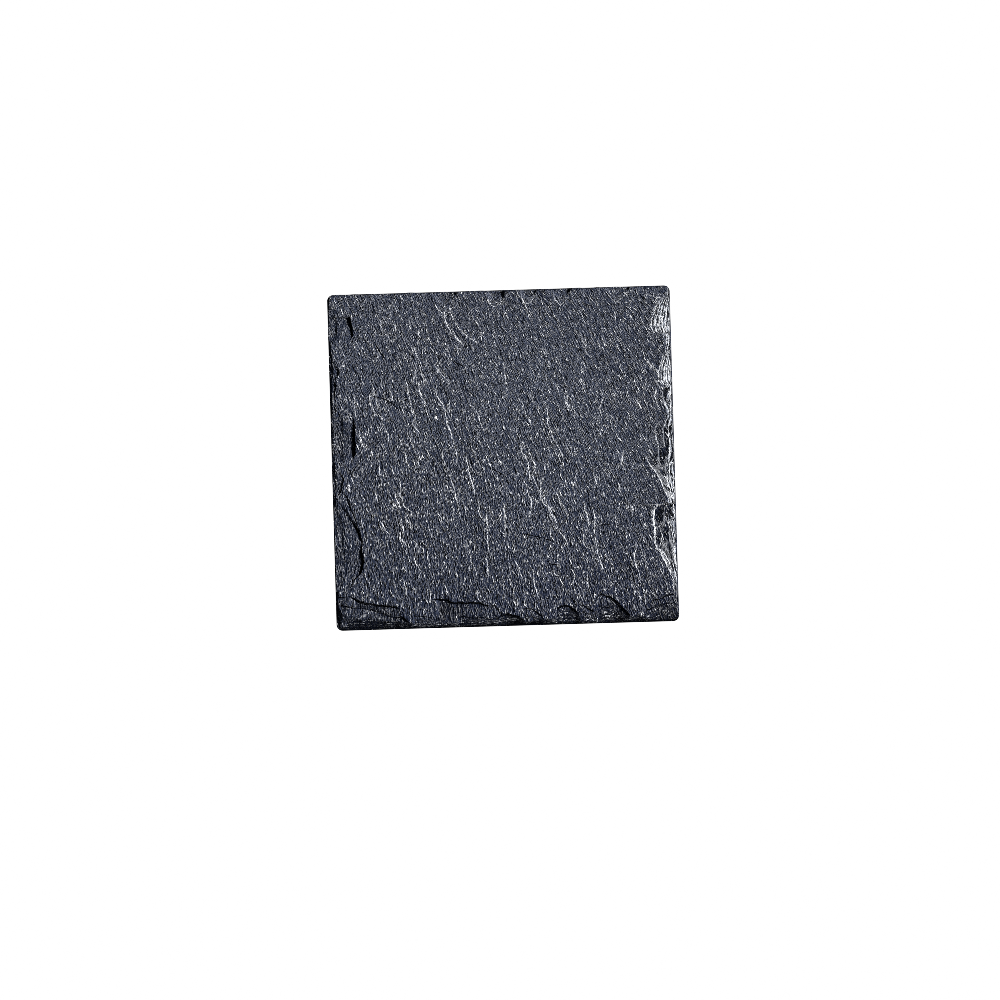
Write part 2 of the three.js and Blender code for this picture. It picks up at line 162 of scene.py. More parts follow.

# %% [markdown]
# The longest leaf edges are where the photograph shows them, as broken lines. Each is drawn here as a few
# points in mm, read off one by one. The ones that step down to the right catch the light. A few fine cracks
# step the other way and stay dark. A painted image could hold them as well, but a list of points stays
# sharp.

# %% The long leaf edges
BRIGHT_EDGES = [
    [(-42.7, 19.7), (-42.8, 17.5), (-42.6, 15), (-42.3, 12.6)],
    [(-41.2, 10.2), (-41.7, 8.2), (-41.3, 6.6), (-40.7, 5), (-40.2, 3.8)],
    [(-34.6, 42), (-34.3, 39.5), (-33.5, 37.5), (-32, 35.5), (-31, 34.4)],
    [(-30.3, 40.2), (-30.2, 38.5), (-29.9, 37.5)],
    [(-23.7, 37.8), (-23.6, 36.8), (-23, 35.6)],
    [(-25, 33.2), (-24.6, 31.5), (-24, 29.6)],
    [(-27.6, 23.4), (-27, 21.5), (-27.1, 19.5), (-26.6, 18), (-26.4, 16), (-26.2, 14.6), (-25.2, 13.2),
     (-25.6, 12), (-25.9, 10.5), (-25, 9), (-23.7, 7.4)],
    [(-23.8, 23.2), (-23.9, 21.5), (-23.6, 19.8), (-23.2, 18.3), (-22.4, 17), (-21.7, 16.3)],
    [(-24.4, 26.8), (-24.8, 25), (-25.4, 23.3)],
    [(-23.2, 26.2), (-22.8, 24.5), (-22, 22.4)],
    [(-18.9, 27.4), (-18.2, 26), (-17.3, 25.1), (-16.5, 24), (-15, 22.2)],
    [(-18.9, 22.2), (-18.7, 20.5), (-18.9, 19), (-18.4, 18), (-17.4, 16.4), (-16.6, 14.8), (-16.4, 13),
     (-16.2, 11.5), (-15.8, 9.8), (-15.2, 8.5), (-14.8, 6.8), (-14.2, 5), (-13.9, 3.5), (-13.4, 0.5),
     (-13.6, -2)],
    [(-15.2, 17.2), (-15.4, 15), (-14.9, 13.2)],
    [(-14.4, 44.8), (-14.1, 42.5), (-13.2, 40.5), (-12, 38.5), (-10.9, 37.2), (-9.8, 35.8), (-8, 34.8),
     (-6.3, 33.3)],
    [(-15.4, 43.6), (-16.1, 42), (-15.3, 39.5), (-14.2, 37), (-12.5, 35.2), (-10.1, 32.6)],
    [(-32.6, 21.2), (-32, 19), (-31.1, 17.1)],
    [(-38, 20.2), (-38.2, 18), (-37.9, 15)],
    [(-36.4, 18.6), (-36.4, 17.4), (-36.1, 15.8)],
    [(-34.2, 9.8), (-33.3, 7.6), (-33, 5.4)],
    [(-6.8, 13.2), (-6.5, 11), (-6.1, 9.8), (-5.2, 7.8)],
    [(-36.1, -0.8), (-36, -2.5), (-36.3, -4.4)],
    [(-37.6, -7.8), (-37.3, -10), (-36.7, -12)],
    [(-32, -8.3), (-31.6, -10.3), (-30.9, -12), (-30, -14)],
    [(-30.1, -5.5), (-29.9, -8), (-30.6, -10), (-29.7, -11), (-29.4, -13), (-28, -14), (-27, -15.2)],
    [(-29, -14.4), (-28.6, -17), (-27.9, -18.5), (-27.1, -20.2)],
    [(-30.4, -17.3), (-29.8, -19), (-29.3, -21.2)],
    [(-31, -20.3), (-30.5, -22.5), (-29.5, -23.8), (-28.5, -24.8)],
    [(-36.2, -17.3), (-35, -19.5), (-33.6, -21.5)],
    [(-27, -23), (-26, -24), (-25.6, -25.5), (-25.7, -27.2)],
    [(-27, -27.8), (-26.3, -30), (-25.3, -31.3), (-24.8, -32.3), (-25.6, -34)],
    [(-29.7, -34.8), (-29.4, -37.5), (-29.3, -39.2)],
    [(-15.6, -4.2), (-15.2, -6.5), (-14.5, -8.5), (-14.1, -11), (-13.5, -13), (-13.2, -14.6)],
    [(-12.7, -11.3), (-11.6, -13.2), (-11.2, -14.5), (-11.4, -16.2)],
    [(-10.7, 1.4), (-10.3, -2), (-9.9, -4.5), (-9.3, -6.5), (-8.8, -8), (-8.5, -10.4)],
    [(-7.6, -11.6), (-7.4, -14), (-7.4, -16), (-6.6, -17.5), (-5.6, -18.8)],
    [(-5.3, -14.6), (-5.2, -20), (-5.2, -24), (-5, -26), (-4.9, -27.8)],
    [(-5.7, -27.7), (-5.5, -31), (-5.2, -34.8)],
    [(-10.5, -26.2), (-10.3, -29.5), (-9, -32), (-8.4, -35)],
    [(-18.4, -35.7), (-17.6, -38), (-16.8, -39.3)],
    [(-8.7, -38), (-8.5, -39.5), (-8.2, -41.4)],
    [(-20.1, -14.6), (-18.8, -16.5), (-17.9, -18.8)],
    [(0.9, 28.2), (1, 26), (1.4, 24), (1.3, 20.8)],
    [(8, 19), (8.8, 17), (9.9, 15.6)],
    [(17.9, 17.7), (19, 15.5), (20.1, 13.8)],
    [(29.8, 16.8), (28.9, 15), (28.3, 13.2)],
    [(13.2, 14.4), (13.4, 12), (13.3, 9), (14.3, 7), (14.8, 4.8)],
    [(7.5, 11.7), (8, 10.6), (8.6, 9.3)],
    [(33.7, 41.8), (33.9, 40.4), (33.8, 38.8)],
    [(5.1, 4.4), (5.6, 1.5), (6.5, 0), (7.3, -1.5), (7.4, -4), (7.9, -6.2)],
    [(7.4, 2.4), (8.3, -0.5), (9.6, -2.8)],
    [(5.4, -5.8), (6.4, -8), (7, -10.5), (7.8, -12.5), (7.7, -15), (6.9, -18.2)],
    [(8.1, -4.8), (9.2, -7.5), (10.3, -10)],
    [(10.7, -6.6), (10.7, -9.5), (10.5, -11.5), (11.3, -13.5), (12.5, -14.6), (13.9, -15.2)],
    [(12, -9.2), (11.5, -11.5), (11.8, -13.2)],
    [(13.9, -14.3), (13.3, -16.5), (14.5, -18), (15.4, -19.7)],
    [(15.1, -9.8), (16, -12.5), (16.6, -15.2)],
    [(23.4, -13.6), (23.3, -16), (24, -17.5), (24.2, -19.2)],
    [(26, -4.8), (26.5, -7), (27.6, -9)],
    [(23, -22.8), (22.5, -25), (23.3, -26.5), (24.7, -27.1)],
    [(25.7, -15.6), (26.2, -18.5), (26, -21), (26.1, -25), (26.6, -28), (27.5, -31), (28.1, -33.4)],
    [(13.2, -20.2), (13.2, -23), (14.3, -24.7)],
    [(-0.1, -12.6), (0, -18), (-0.1, -23.4)],
    [(2.6, -29.6), (3.5, -32.5), (4.6, -35.2)],
    [(7.9, -34.2), (8, -37), (8.6, -39), (9.1, -41.2)],
    [(23.7, -34.2), (23.6, -37), (23.8, -39.2)],
    [(38.1, -27.2), (37.3, -29.5), (37.5, -31.5), (38.6, -34), (39.1, -36.8)],
    [(35.1, 1.7), (34.6, -1), (34.2, -2.5), (35.6, -5.3)],
    [(38.3, -39.8), (38.5, -41), (39, -42.4)],
]
DARK_EDGES = [
    [(4.4, -22.1), (7.5, -22.7), (10, -23.3), (12, -24), (14.4, -24.9)],
    [(11.7, -30.1), (13, -31.2), (15.8, -31.6)],
    [(27.2, -20.7), (29, -20), (30.8, -20.3)],
    [(-36.8, 35.4), (-35, 32), (-33.3, 29.5)],
    [(-37.8, 19.2), (-34, 18.2), (-32, 17), (-29.7, 14.8)],
    [(-13.8, 28.7), (-12, 27.7), (-10.3, 26.8)],
    [(-4.3, -2.6), (-2, -3.8), (0.3, -5)],
    [(-11.8, 22.3), (-9.5, 19.8), (-7.3, 17.8)],
    [(34.8, -30.8), (36.5, -34), (37.5, -38.4)],
    [(18, -40.4), (19.2, -41.8), (20, -43.6)],
]
print(f"{len(BRIGHT_EDGES)} bright edges and {len(DARK_EDGES)} dark ones")

# %% Distance from the lines
FADE_OUT = 1.5  # mm from a line at which it has no more effect


def line_field(lines, x, y):
    """For each point, the distance to the nearest line, positive on the line's left as it is drawn, and how
    strong the line is there: 0 at its two ends and 1 from the middle of its first and last stretch on."""
    distance, strength = np.full(x.shape, FADE_OUT), np.zeros(x.shape)
    for line in lines:
        weights = [0] + [2] * (len(line) - 2) + [0]
        for (ax, ay), (bx, by), wa, wb in zip(line, line[1:], weights, weights[1:]):
            vx, vy = bx - ax, by - ay
            along = np.clip(((x - ax) * vx + (y - ay) * vy) / (vx * vx + vy * vy), 0, 1)
            dx, dy = x - ax - along * vx, y - ay - along * vy
            away = np.hypot(dx, dy)
            closer = away < np.abs(distance)
            distance[closer] = np.where(vx * dy > vy * dx, away, -away)[closer]
            strength[closer] = np.minimum(wa + (wb - wa) * along, 1)[closer]
    return distance, strength * smooth_step((FADE_OUT - np.abs(distance)) / FADE_OUT * 2)


# %% [markdown]
# The edges were dressed by striking flakes off the top face. Each scar is a step down from the face along
# its inner outline, the lip, and from there it falls away to the rim. Boolean cuts could take the flakes
# off, but they would leave long thin triangles, so each scar is a depth worked out on the same grid as the
# face. The large ones are listed as they lie in the photograph: the side, the fall from lip to rim, and the
# outline as points of (place along the edge, reach in from the edge, height of the lip), all in mm.

# %% The large scars
SCARS = [
    ("left", 0.5, [(35.4, 6.8, 0), (36.8, 7.1, 0.31), (39.5, 7.05, 0.36), (40, 6.8, 0.5),
                   (42.1, 6.75, 0.5), (42.4, 6.7, 0.07), (44.6, 5.6, 0)]),
    ("left", 0.5, [(18.5, 1.2, 0), (20, 1.7, 0.21), (24.4, 1.9, 0.14), (25, 2.7, 0.2), (26, 3, 0.2),
                   (27.5, 2.6, 0.25), (28, 1.9, 0.14), (30, 1.2, 0)]),
    ("left", 0.7, [(0.2, 6.2, 0), (1.4, 6.6, 0.14), (2.2, 7, 0.42), (4, 7, 0.56), (8.6, 6.9, 0.56),
                   (9.8, 6.75, 0.34), (12, 6.8, 0.17), (13.4, 6.6, 0)]),
    ("left", 0.5, [(-11.3, 1.8, 0), (-9, 2.2, 0.14), (-7.4, 3, 0.25), (-4.6, 3.3, 0.2), (-2.5, 2.4, 0)]),
    ("left", 0.2, [(-21, 7.9, 0), (-18, 7.1, 0.11), (-15.8, 6.2, 0.17), (-13, 5.2, 0.21), (-10, 4, 0.14),
                   (-9, 3.2, 0.07)]),
    ("left", 0.5, [(-37.2, 3.8, 0), (-36, 4.6, 0.11), (-34, 6.1, 0.22), (-32.5, 7.4, 0.34),
                   (-31, 8.2, 0.39), (-29, 8.5, 0.48), (-27, 8.1, 0.48), (-24, 8.2, 0.2),
                   (-22.8, 8.3, 0.28), (-20.5, 7.4, 0.35), (-17.5, 6, 0.39), (-15, 4.4, 0.39),
                   (-13, 3, 0.31), (-10.6, 1.6, 0.14)]),
    ("left", 1, [(-49, 4.6, 0.49), (-47, 4, 0.49), (-44.8, 2.6, 0.49), (-42.5, 1, 0.42),
                 (-41.4, 0.4, 0.28)]),
    ("near", 0.3, [(-49.6, 9.9, 0.14), (-46, 9.9, 0.17), (-44.6, 9.3, 0.28), (-43, 8.3, 0.45),
                   (-40, 7.8, 0.45), (-37, 7.1, 0.45), (-34, 6.8, 0.42), (-32.4, 6.4, 0.28),
                   (-30.8, 5.8, 0)]),
    ("near", 0.7, [(-48.5, 7.7, 0.49), (-45, 6.8, 0.53), (-42.3, 6.6, 0.59), (-40, 6.1, 0.7),
                   (-38, 5.5, 0.7), (-36, 4.9, 0.59), (-34.2, 4.1, 0.5), (-30.5, 3.4, 0.42),
                   (-29.3, 2.4, 0.28), (-28.5, 1.9, 0)]),
    ("near", 1.6, [(-47, 2.8, 1.12), (-42, 2.8, 1.12), (-38, 2.5, 1.12), (-33, 2.4, 0.84),
                   (-31, 2, 0.7)]),
    ("near", 0.4, [(-22.4, 8.2, 0), (-20.8, 8.5, 0.14), (-19.8, 8.4, 0.42), (-17.1, 8.2, 0.42),
                   (-16.6, 7.5, 0.42), (-14, 7.2, 0.42), (-11, 7.1, 0.34), (-8, 6.9, 0.34),
                   (-6, 6.3, 0.22), (-4, 6.1, 0.14), (-2.8, 5, 0.17), (-2, 4, 0.14), (-1.5, 3.2, 0)]),
    ("near", 1.3, [(-27.5, 3.9, 0.14), (-22, 3.2, 0.21), (-19, 3, 0.35), (-17, 2.2, 0.28),
                   (-16.5, 1.6, 0)]),
    ("near", 1.4, [(-13.8, 3.6, 0.42), (-10, 2.9, 0.49), (-8.5, 3.2, 0.42), (-5, 2.5, 0.56),
                   (-3, 2.7, 0.42), (0, 2.2, 0.28)]),
    ("near", 2.2, [(-2.8, 2.6, 0), (-2.4, 3.3, 0.42), (0, 3.6, 0.56), (2.5, 3.1, 0.56), (4.3, 2.1, 0.42),
                   (5.2, 1.5, 0)]),
    ("near", 0.8, [(2.5, 4.2, 0), (5, 5, 0.07), (7.3, 4.8, 0.22), (9.5, 3.2, 0.28), (10.5, 2.2, 0)]),
    ("near", 1.6, [(14.1, 1.5, 0.14), (14.4, 4.6, 0.42), (15.3, 5.4, 0.35), (17, 5.5, 0.35),
                   (18.5, 5.2, 0.35), (19.7, 4.2, 0.42), (20.6, 2.9, 0.42), (21.3, 1.8, 0)]),
    ("near", 1.3, [(20.2, 5.4, 0), (22, 5.4, 0.17), (24, 4.4, 0.28), (25.5, 3.1, 0.35), (26.6, 1.6, 0)]),
    ("near", 0.9, [(24.8, 3, 0), (25.1, 6, 0.21), (26.5, 8.3, 0.17), (27.3, 8.7, 0.22), (30, 7.8, 0.36),
                   (32, 6.1, 0.42), (33.5, 4.3, 0.45), (35, 2.7, 0.42), (35.8, 1.8, 0)]),
    ("near", 1.8, [(26, 3.6, 0.42), (28, 5.1, 0.56), (31, 4.1, 0.59), (33, 2.8, 0.56), (34, 2, 0.42)]),
    ("near", 0.5, [(41, 5.2, 0), (42.5, 6.3, 0.17), (46, 7.4, 0.25), (48, 8, 0.25), (50, 7.4, 0.17)]),
    ("near", 1.1, [(40, 2.5, 0), (40.5, 3.6, 0.28), (43, 4.7, 0.42), (46, 5.4, 0.42), (48, 5.7, 0.42),
                   (50, 5.4, 0.35)]),
    ("right", 1.9, [(34.4, 1.8, 0), (34.8, 3, 0.06), (35.2, 5, 0.12), (36, 5.6, 0.14), (37, 6, 0.17),
                    (39, 5.5, 0.17), (41, 5, 0.14), (43, 3.9, 0.12), (44.5, 2.9, 0.07), (45.7, 1.6, 0)]),
    ("right", 1.8, [(19.5, 2, 0), (20.2, 3.4, 0.12), (21, 4.1, 0.17), (23, 4.1, 0.19), (26, 3.6, 0.17),
                    (28.5, 2.5, 0.06), (30, 1.7, 0)]),
    ("right", 0.8, [(12.5, 3.2, 0), (13.5, 4.5, 0.1), (16, 5.1, 0.12), (18, 5.3, 0.1), (19.2, 4.6, 0)]),
    ("right", 1, [(-1, 3, 0), (0.5, 4, 0.06), (2, 4.6, 0.12), (5, 5.4, 0.12), (7.4, 5.6, 0.1),
                  (10.5, 3, 0)]),
    ("right", 0.9, [(-16, 1.2, 0), (-15, 1.7, 0.12), (-12, 2.8, 0.24), (-10, 3.6, 0.26),
                    (-7.5, 4.5, 0.26), (-5, 5.9, 0.26), (-2.5, 7.7, 0.14), (-1, 8.3, 0.07),
                    (1.5, 8.9, 0)]),
    ("right", 1.3, [(-13, 1.5, 0), (-11, 2.1, 0.48), (-8, 3, 0.54), (-6, 3.5, 0.48), (-4, 3.9, 0.42),
                    (-1.5, 4.4, 0)]),
    ("right", 0.8, [(-39, 1, 0), (-36.5, 1.7, 0.18), (-34, 2.6, 0.24), (-31.5, 3.7, 0.24),
                    (-29, 5.1, 0.24), (-27.7, 6.2, 0.3), (-26, 6.5, 0.36), (-22, 6.5, 0.36),
                    (-20, 6.8, 0.36), (-17.5, 6.8, 0.36), (-15.8, 6.3, 0.36), (-15, 5.3, 0.38),
                    (-14.7, 4, 0.38), (-14.5, 1, 0.36)]),
    ("right", 0.8, [(-36, 1.2, 0), (-34, 2, 0.48), (-31.5, 2.9, 0.6), (-29.5, 4, 0.6), (-27.5, 5.4, 0.5),
                    (-26, 5, 0.6), (-24, 4.5, 0.72), (-22, 5, 0.66), (-20, 5.8, 0.5), (-18, 5.4, 0)]),
    ("right", 1.5, [(-29, 1.1, 0), (-27, 1.5, 1.08), (-24, 1.7, 1.2), (-22, 2.4, 1.2), (-20, 2.6, 1.08),
                    (-18.5, 2.3, 0)]),
    ("right", 1.6, [(-42.5, 0.8, 0), (-41, 1.2, 0.12), (-38, 1.6, 0.12), (-36, 1.2, 0)]),
    ("far", 0.5, [(-35.6, 1, 0), (-34.8, 3.6, 0.1), (-33, 5.4, 0.12), (-31.2, 3.6, 0.1), (-30, 1.4, 0)]),
    ("far", 0.6, [(-19.5, 2, 0), (-18, 5, 0.1), (-15.5, 7.2, 0.12), (-13.5, 5, 0.1), (-12, 2, 0)]),
    ("far", 0.9, [(-3.2, 1, 0), (-2.9, 3, 0.14), (-2, 4.5, 0.17), (-1, 5.2, 0.14), (0.3, 3.8, 0.12),
                  (1.2, 4.6, 0.12), (1.7, 2, 0)]),
    ("far", 0.8, [(6.2, 1, 0), (7, 3.4, 0.12), (8.5, 4.6, 0.14), (10, 3, 0.12), (11.2, 1.4, 0)]),
    ("far", 0.9, [(15.3, 1.4, 0), (16.5, 3.6, 0.12), (18, 5, 0.14), (20, 3.2, 0.12), (21, 1.4, 0)]),
    ("far", 0.8, [(31, 1, 0), (32.2, 2.7, 0.14), (34, 4.6, 0.17), (36, 3.3, 0.14), (38, 1.4, 0.06)]),
    ("far", 0.9, [(41, 2.6, 0), (44, 3, 0.12), (46, 3.6, 0.14), (48, 3.8, 0.14), (50, 3.6, 0.12)]),
]
print(f"{len(SCARS)} large scars")

# %% [markdown]
# Between the large scars the edges carry a row of small flakes, one from each light blow of the hammer. The
# near and right edges were struck hardest. They could be listed like the large scars, but there are about a
# hundred and they are alike, so a rule makes each row: one flake to a pitch, each with its own small
# changes.

# %% The dressing's small flakes
DRESSING = dict(
    left=dict(reach=1.9, fall=0.65, seed=41),
    near=dict(reach=2.1, fall=2.5, seed=42),
    right=dict(reach=2.1, fall=1.3, seed=43),
    far=dict(reach=0.7, fall=0.6, seed=44),
)
FLAKE_PITCH = 4.2  # mm from one blow to the next
FLAKE_SHIFT = 0.35  # how far a blow strays, as a share of the pitch
FLAKE_CHANGES = dict(width=0.5, reach=0.5, fall=0.3)  # how much the flakes differ, as shares of the usual
# a flake's outline: places in half widths, and how far in as a share of its reach
FLAKE_SHAPE = [(-1, 0), (-0.9, 0.5), (-0.6, 0.85), (0, 1), (0.6, 0.85), (0.9, 0.5), (1, 0)]
# for each side, the place along the edge and the distance in from it
SIDES = dict(
    left=lambda x, y: (y, HALF_X + x),
    right=lambda x, y: (y, HALF_X - x),
    near=lambda x, y: (x, HALF_Y + y),
    far=lambda x, y: (x, HALF_Y - y),
)


def small_flakes(side):
    """A row of flakes along one edge, a pitch apart, each with its own shift, width, reach and fall."""
    usual = DRESSING[side]
    length = 2 * (HALF_Y if side in ("left", "right") else HALF_X)
    count = round(length / FLAKE_PITCH)
    i = np.arange(count + 1)
    shift, wide, far_in, deep = (lattice(i, row, usual["seed"]) - 0.5 for row in (1, 2, 3, 4))
    peaks = -length / 2 + i * length / count + FLAKE_PITCH * FLAKE_SHIFT * shift
    halves = FLAKE_PITCH * (1 + FLAKE_CHANGES["width"] * wide)
    reaches = usual["reach"] * (1 + FLAKE_CHANGES["reach"] * far_in)
    falls = usual["fall"] * (1 + FLAKE_CHANGES["fall"] * deep)
    return [
        (side, fall, [(peak + half * along, reach * inward, 0) for along, inward in FLAKE_SHAPE])
        for peak, half, reach, fall in zip(peaks, halves, reaches, falls)
    ]


ALL_SCARS = SCARS + [flake for side in DRESSING for flake in small_flakes(side)]
print(f"{len(ALL_SCARS)} scars with the small flakes")

# %% [markdown]
# A flake leaves a slope that bends down to the rim and breaks through the slate's layers, which show on it
# as low terraces with ragged edges. The slope is a power of the way out to the rim. Rounding its depth to
# whole layers makes the terraces, and noise on the outline makes it ragged.

# %% Terraces
LAMINA = 0.36  # mm, the thickness of the layers that show as terraces in a scar
LAMINA_RAMP = 0.4  # share of a layer over which one terrace slopes to the next
TERRACED = 0.65  # how far the slope follows the terraces: 0 is smooth and 1 is all steps
UNEVEN = dict(height=0.06, width=0.9, length=3.5, seed=83)  # how the layers wander up and down


def layer_count(depth, x, y):
    """How many layers lie above this depth: it wanders a little, as the layers are uneven."""
    return np.maximum(depth + ripple(x, y, UNEVEN, 2), 0) / LAMINA


def terraced(depth, x, y):
    """The same depth in terraces: rounded to whole layers, with a short ramp between one and the next."""
    count = layer_count(depth, x, y)
    whole = np.floor(count)
    ramp = smooth_step((count - whole - (1 - LAMINA_RAMP)) / LAMINA_RAMP)
    steps = np.clip(LAMINA * (whole + ramp), 0, depth + LAMINA / 2)
    return (1 - TERRACED) * depth + TERRACED * steps


print(f"a scar 1.5 mm deep has {int(1.5 / LAMINA)} whole layers")

# %% Depth of a scar
FLAKE_BEND = 1.3  # the power by which a scar steepens towards the rim
RAGGED = dict(height=0.22, coarse=1.7, fine=0.6)  # mm, how an outline strays from its straight stretches
SLOPE_STEP = 0.1  # mm to each side, over which an outline's slant is measured


def scar_shape(scar, x, y):
    """How deep one scar is, how far the points are in from its outline, and the height of the lip there.

    The depth is the lip, plus the fall times how far out to the rim the point is, raised to the bend."""
    side, fall, outline = scar
    along, from_edge = SIDES[side](x, y)
    places, reaches, lips = np.array(outline).T
    seed, row = 5 + int(10 * abs(places[0])), np.full_like(along, 0.5)
    stray = noise(along / RAGGED["coarse"], row, seed) + 0.5 * noise(along / RAGGED["fine"], row, seed + 1)
    reach, ahead, behind = (
        np.interp(along + step, places, reaches, left=0, right=0) for step in (0, SLOPE_STEP, -SLOPE_STEP)
    )
    slant = (ahead - behind) / (2 * SLOPE_STEP)
    reach = np.maximum(reach + RAGGED["height"] * stray * np.minimum(reach / 2, 1), 1e-6)
    lip = np.interp(along, places, lips, left=0, right=0)
    slope = fall * np.clip(1 - from_edge / reach, 0, 1) ** FLAKE_BEND
    depth = np.where(from_edge < reach, lip + terraced(slope, x, y), 0)
    return depth, (from_edge - reach) / np.hypot(1, slant), lip


print(f"half way out to the rim a scar has {0.5**FLAKE_BEND:.0%} of its fall")

# %% [markdown]
# The top is one grid of points, finer towards the edges, where the relief is sharpest. A square grid has
# sharp corners, and the slab's are worn round, so the points near a corner are moved from squares round the
# corner's centre on to arcs of the same size. Cutting the corners off would leave slivers.

# %% The grid in plan
CORNER = 1.8  # mm, radius of the worn corners
COLUMNS, ROWS = 336, 248  # the crinkles run mostly along Y, so the columns are closer than the rows
EDGE_FINENESS = 0.4  # 0 spaces the points evenly, and 1 crowds them most at the edges


def graded(count):
    """Places from -1 to 1: a straight line mixed with a sine, so that they are closer near both ends."""
    u = np.linspace(-1, 1, count + 1)
    return (1 - EDGE_FINENESS) * u + EDGE_FINENESS * np.sin(np.pi * u / 2)


def round_corner(x, y):
    """Moves points near a corner, so that a square round its centre becomes an arc.

    With a and b the distances past the centre, both are scaled by the larger of them over their length."""
    a = np.maximum(np.abs(x) - (HALF_X - CORNER), 0)
    b = np.maximum(np.abs(y) - (HALF_Y - CORNER), 0)
    scale = np.where((a > 0) & (b > 0), np.maximum(a, b) / np.maximum(np.hypot(a, b), 1e-9), 1)
    return x + np.sign(x) * a * (scale - 1), y + np.sign(y) * b * (scale - 1)


plan_x, plan_y = round_corner(*np.meshgrid(HALF_X * graded(COLUMNS), HALF_Y * graded(ROWS)))
print(f"the points are {np.diff(plan_x[ROWS // 2]).max():.2f} mm apart at the most along X")

# %% [markdown]
# The broken wall leans in towards the top and is ragged along its length. The grid's outer points are drawn
# in by that much, and the ones within a few mm make room, so that no squares are crushed at the rim.

# %% Room for the leaning wall
WALL_LEAN = 0.28  # mm, how far the wall leans in over its height
WALL_RAGGED = dict(height=0.2, pitch=2.6, seed=61)
SQUEEZE = 2.5  # mm, how far in from the edge the points make room
whole_wall = noise(plan_x / WALL_RAGGED["pitch"], plan_y / WALL_RAGGED["pitch"] + 1, WALL_RAGGED["seed"])
pull = WALL_LEAN + WALL_RAGGED["height"] * whole_wall
room_x = np.clip(1 - (HALF_X - np.abs(plan_x)) / SQUEEZE, 0, 1) ** 2
room_y = np.clip(1 - (HALF_Y - np.abs(plan_y)) / SQUEEZE, 0, 1) ** 2
top_x = plan_x - np.sign(plan_x) * pull * room_x
top_y = plan_y - np.sign(plan_y) * pull * room_y
print(f"the rim lies {pull.min():.2f} to {pull.max():.2f} mm in")

# %% [markdown]
# Now each point of the top gets its height: the riven face, less the step of the nearest long edge and less
# the deepest of the scars that reach it. A leaf edge curls up a little before it drops. As everything is a
# height over the same grid, it stays one surface without seams.

# %% The long edges on the grid
bright_distance, bright_strength = line_field(BRIGHT_EDGES, top_x, top_y)
dark_distance, dark_strength = line_field(DARK_EDGES, top_x, top_y)
nearer = np.abs(bright_distance) <= np.abs(dark_distance)
edge_distance = np.where(nearer, bright_distance, dark_distance)
edge_strength = np.where(nearer, bright_strength, -dark_strength)  # below zero is a dark edge
print(f"{(np.abs(edge_distance) < FADE_OUT).mean():.0%} of the points are near a long edge")

# %% The scars on the grid
FACING = dict(left=-0.6, near=-0.7, right=1, far=0.5)  # how squarely a side's steps meet the light
deepest, scar_facing = np.zeros_like(top_x), np.zeros_like(top_x)
shapes = [scar_shape(scar, top_x, top_y) for scar in ALL_SCARS]
for scar, (depth, *_) in zip(ALL_SCARS, shapes):
    scar_facing = np.where(depth > deepest, FACING[scar[0]], scar_facing)
    deepest = np.maximum(deepest, depth)
print(f"the deepest scar is {deepest.max():.2f} mm deep")

# %% The height of the top
THINNEST_RIM = 0.9  # mm
EDGE_DROP = 0.06  # mm, the drop at a long leaf edge, which fades out with the distance from it
EDGE_CURL = 0.25  # how far the leaf curls up before its edge, as a share of the drop
fading = np.clip(1 - np.abs(edge_distance) / FADE_OUT, 0, 1)
drop = EDGE_DROP * edge_strength * fading * np.where(edge_distance > 0, 1, -EDGE_CURL)
top_z = np.maximum(face_height(top_x, top_y) - drop - deepest, THINNEST_RIM)
print(f"the top is {top_z.min():.2f} to {top_z.max():.2f} mm high")

# %% [markdown]
# The wall is where the stone broke across its layers, and it shows them end-on as thin ledges. It could be
# an extrusion of the rim, but that would be as smooth as a cut. Here each row of points keeps its layer's
# own wavy line, so the ledges stand in front of one another.


# %% The loop of points round an edge
def loop_of(grid):
    """The outer points of a grid, counter-clockwise from the near left corner, without repeating any."""
    return np.concatenate([grid[0, :-1], grid[:-1, -1], grid[-1, :0:-1], grid[:0:-1, 0]])


edge_x, edge_y = loop_of(plan_x), loop_of(plan_y)
rim_x, rim_y, rim_z = loop_of(top_x), loop_of(top_y), loop_of(top_z)
print(f"{len(edge_x)} points go round the edge")

# %% The wall's points
WALL_ROWS = 8
LEDGE = dict(height=0.22, length=4.5, thickness=0.42, seed=92)
LAYER_BEND = dict(height=0.35, length=9, seed=91)  # how the layers rise and fall along the wall, in layers
LAYER_SHIFT = 7.3  # moves each layer's wavy line along, so that no two are alike
share = (np.arange(WALL_ROWS) / WALL_ROWS)[:, None]
wall_z = share * rim_z
bend = noise(edge_x / LAYER_BEND["length"], edge_y / LAYER_BEND["length"], LAYER_BEND["seed"])
layer = np.floor(wall_z / LEDGE["thickness"] + LAYER_BEND["height"] * bend)
ledge_u = (edge_x + edge_y) / LEDGE["length"] + LAYER_SHIFT * layer
ledge_v = (edge_x - edge_y) / LEDGE["length"]
ledge = LEDGE["height"] * np.abs(noise(ledge_u, ledge_v, LEDGE["seed"]))
narrowing = 1 - ledge * 4 * share * (1 - share) / HALF_X
wall_x = (edge_x + (rim_x - edge_x) * share) * narrowing
wall_y = (edge_y + (rim_y - edge_y) * share) * narrowing
print(f"the wall is {rim_z.min():.2f} to {rim_z.max():.2f} mm high")

# %% [markdown]
# The underside is the other half of the split: nearly flat, with a slight roughness. It rests on the table,
# so its relief only goes upwards from the floor. It is seldom seen, and a coarser grid is enough.

# %% The underside's points
THIN_OUT = 4  # one underside point for this many of the top's, along each side
UNDER_INSET = 0.985  # its outer points lie this far out, and triangles join them to the wall's lower edge
UNDER = dict(height=0.22, width=7, length=16, seed=101)
under_x, under_y = (UNDER_INSET * grid[::THIN_OUT, ::THIN_OUT] for grid in (plan_x, plan_y))
under_z = np.abs(ripple(across_grain(under_x, under_y), under_y, UNDER, 3))
print(f"the underside's relief is up to {under_z.max():.2f} mm")

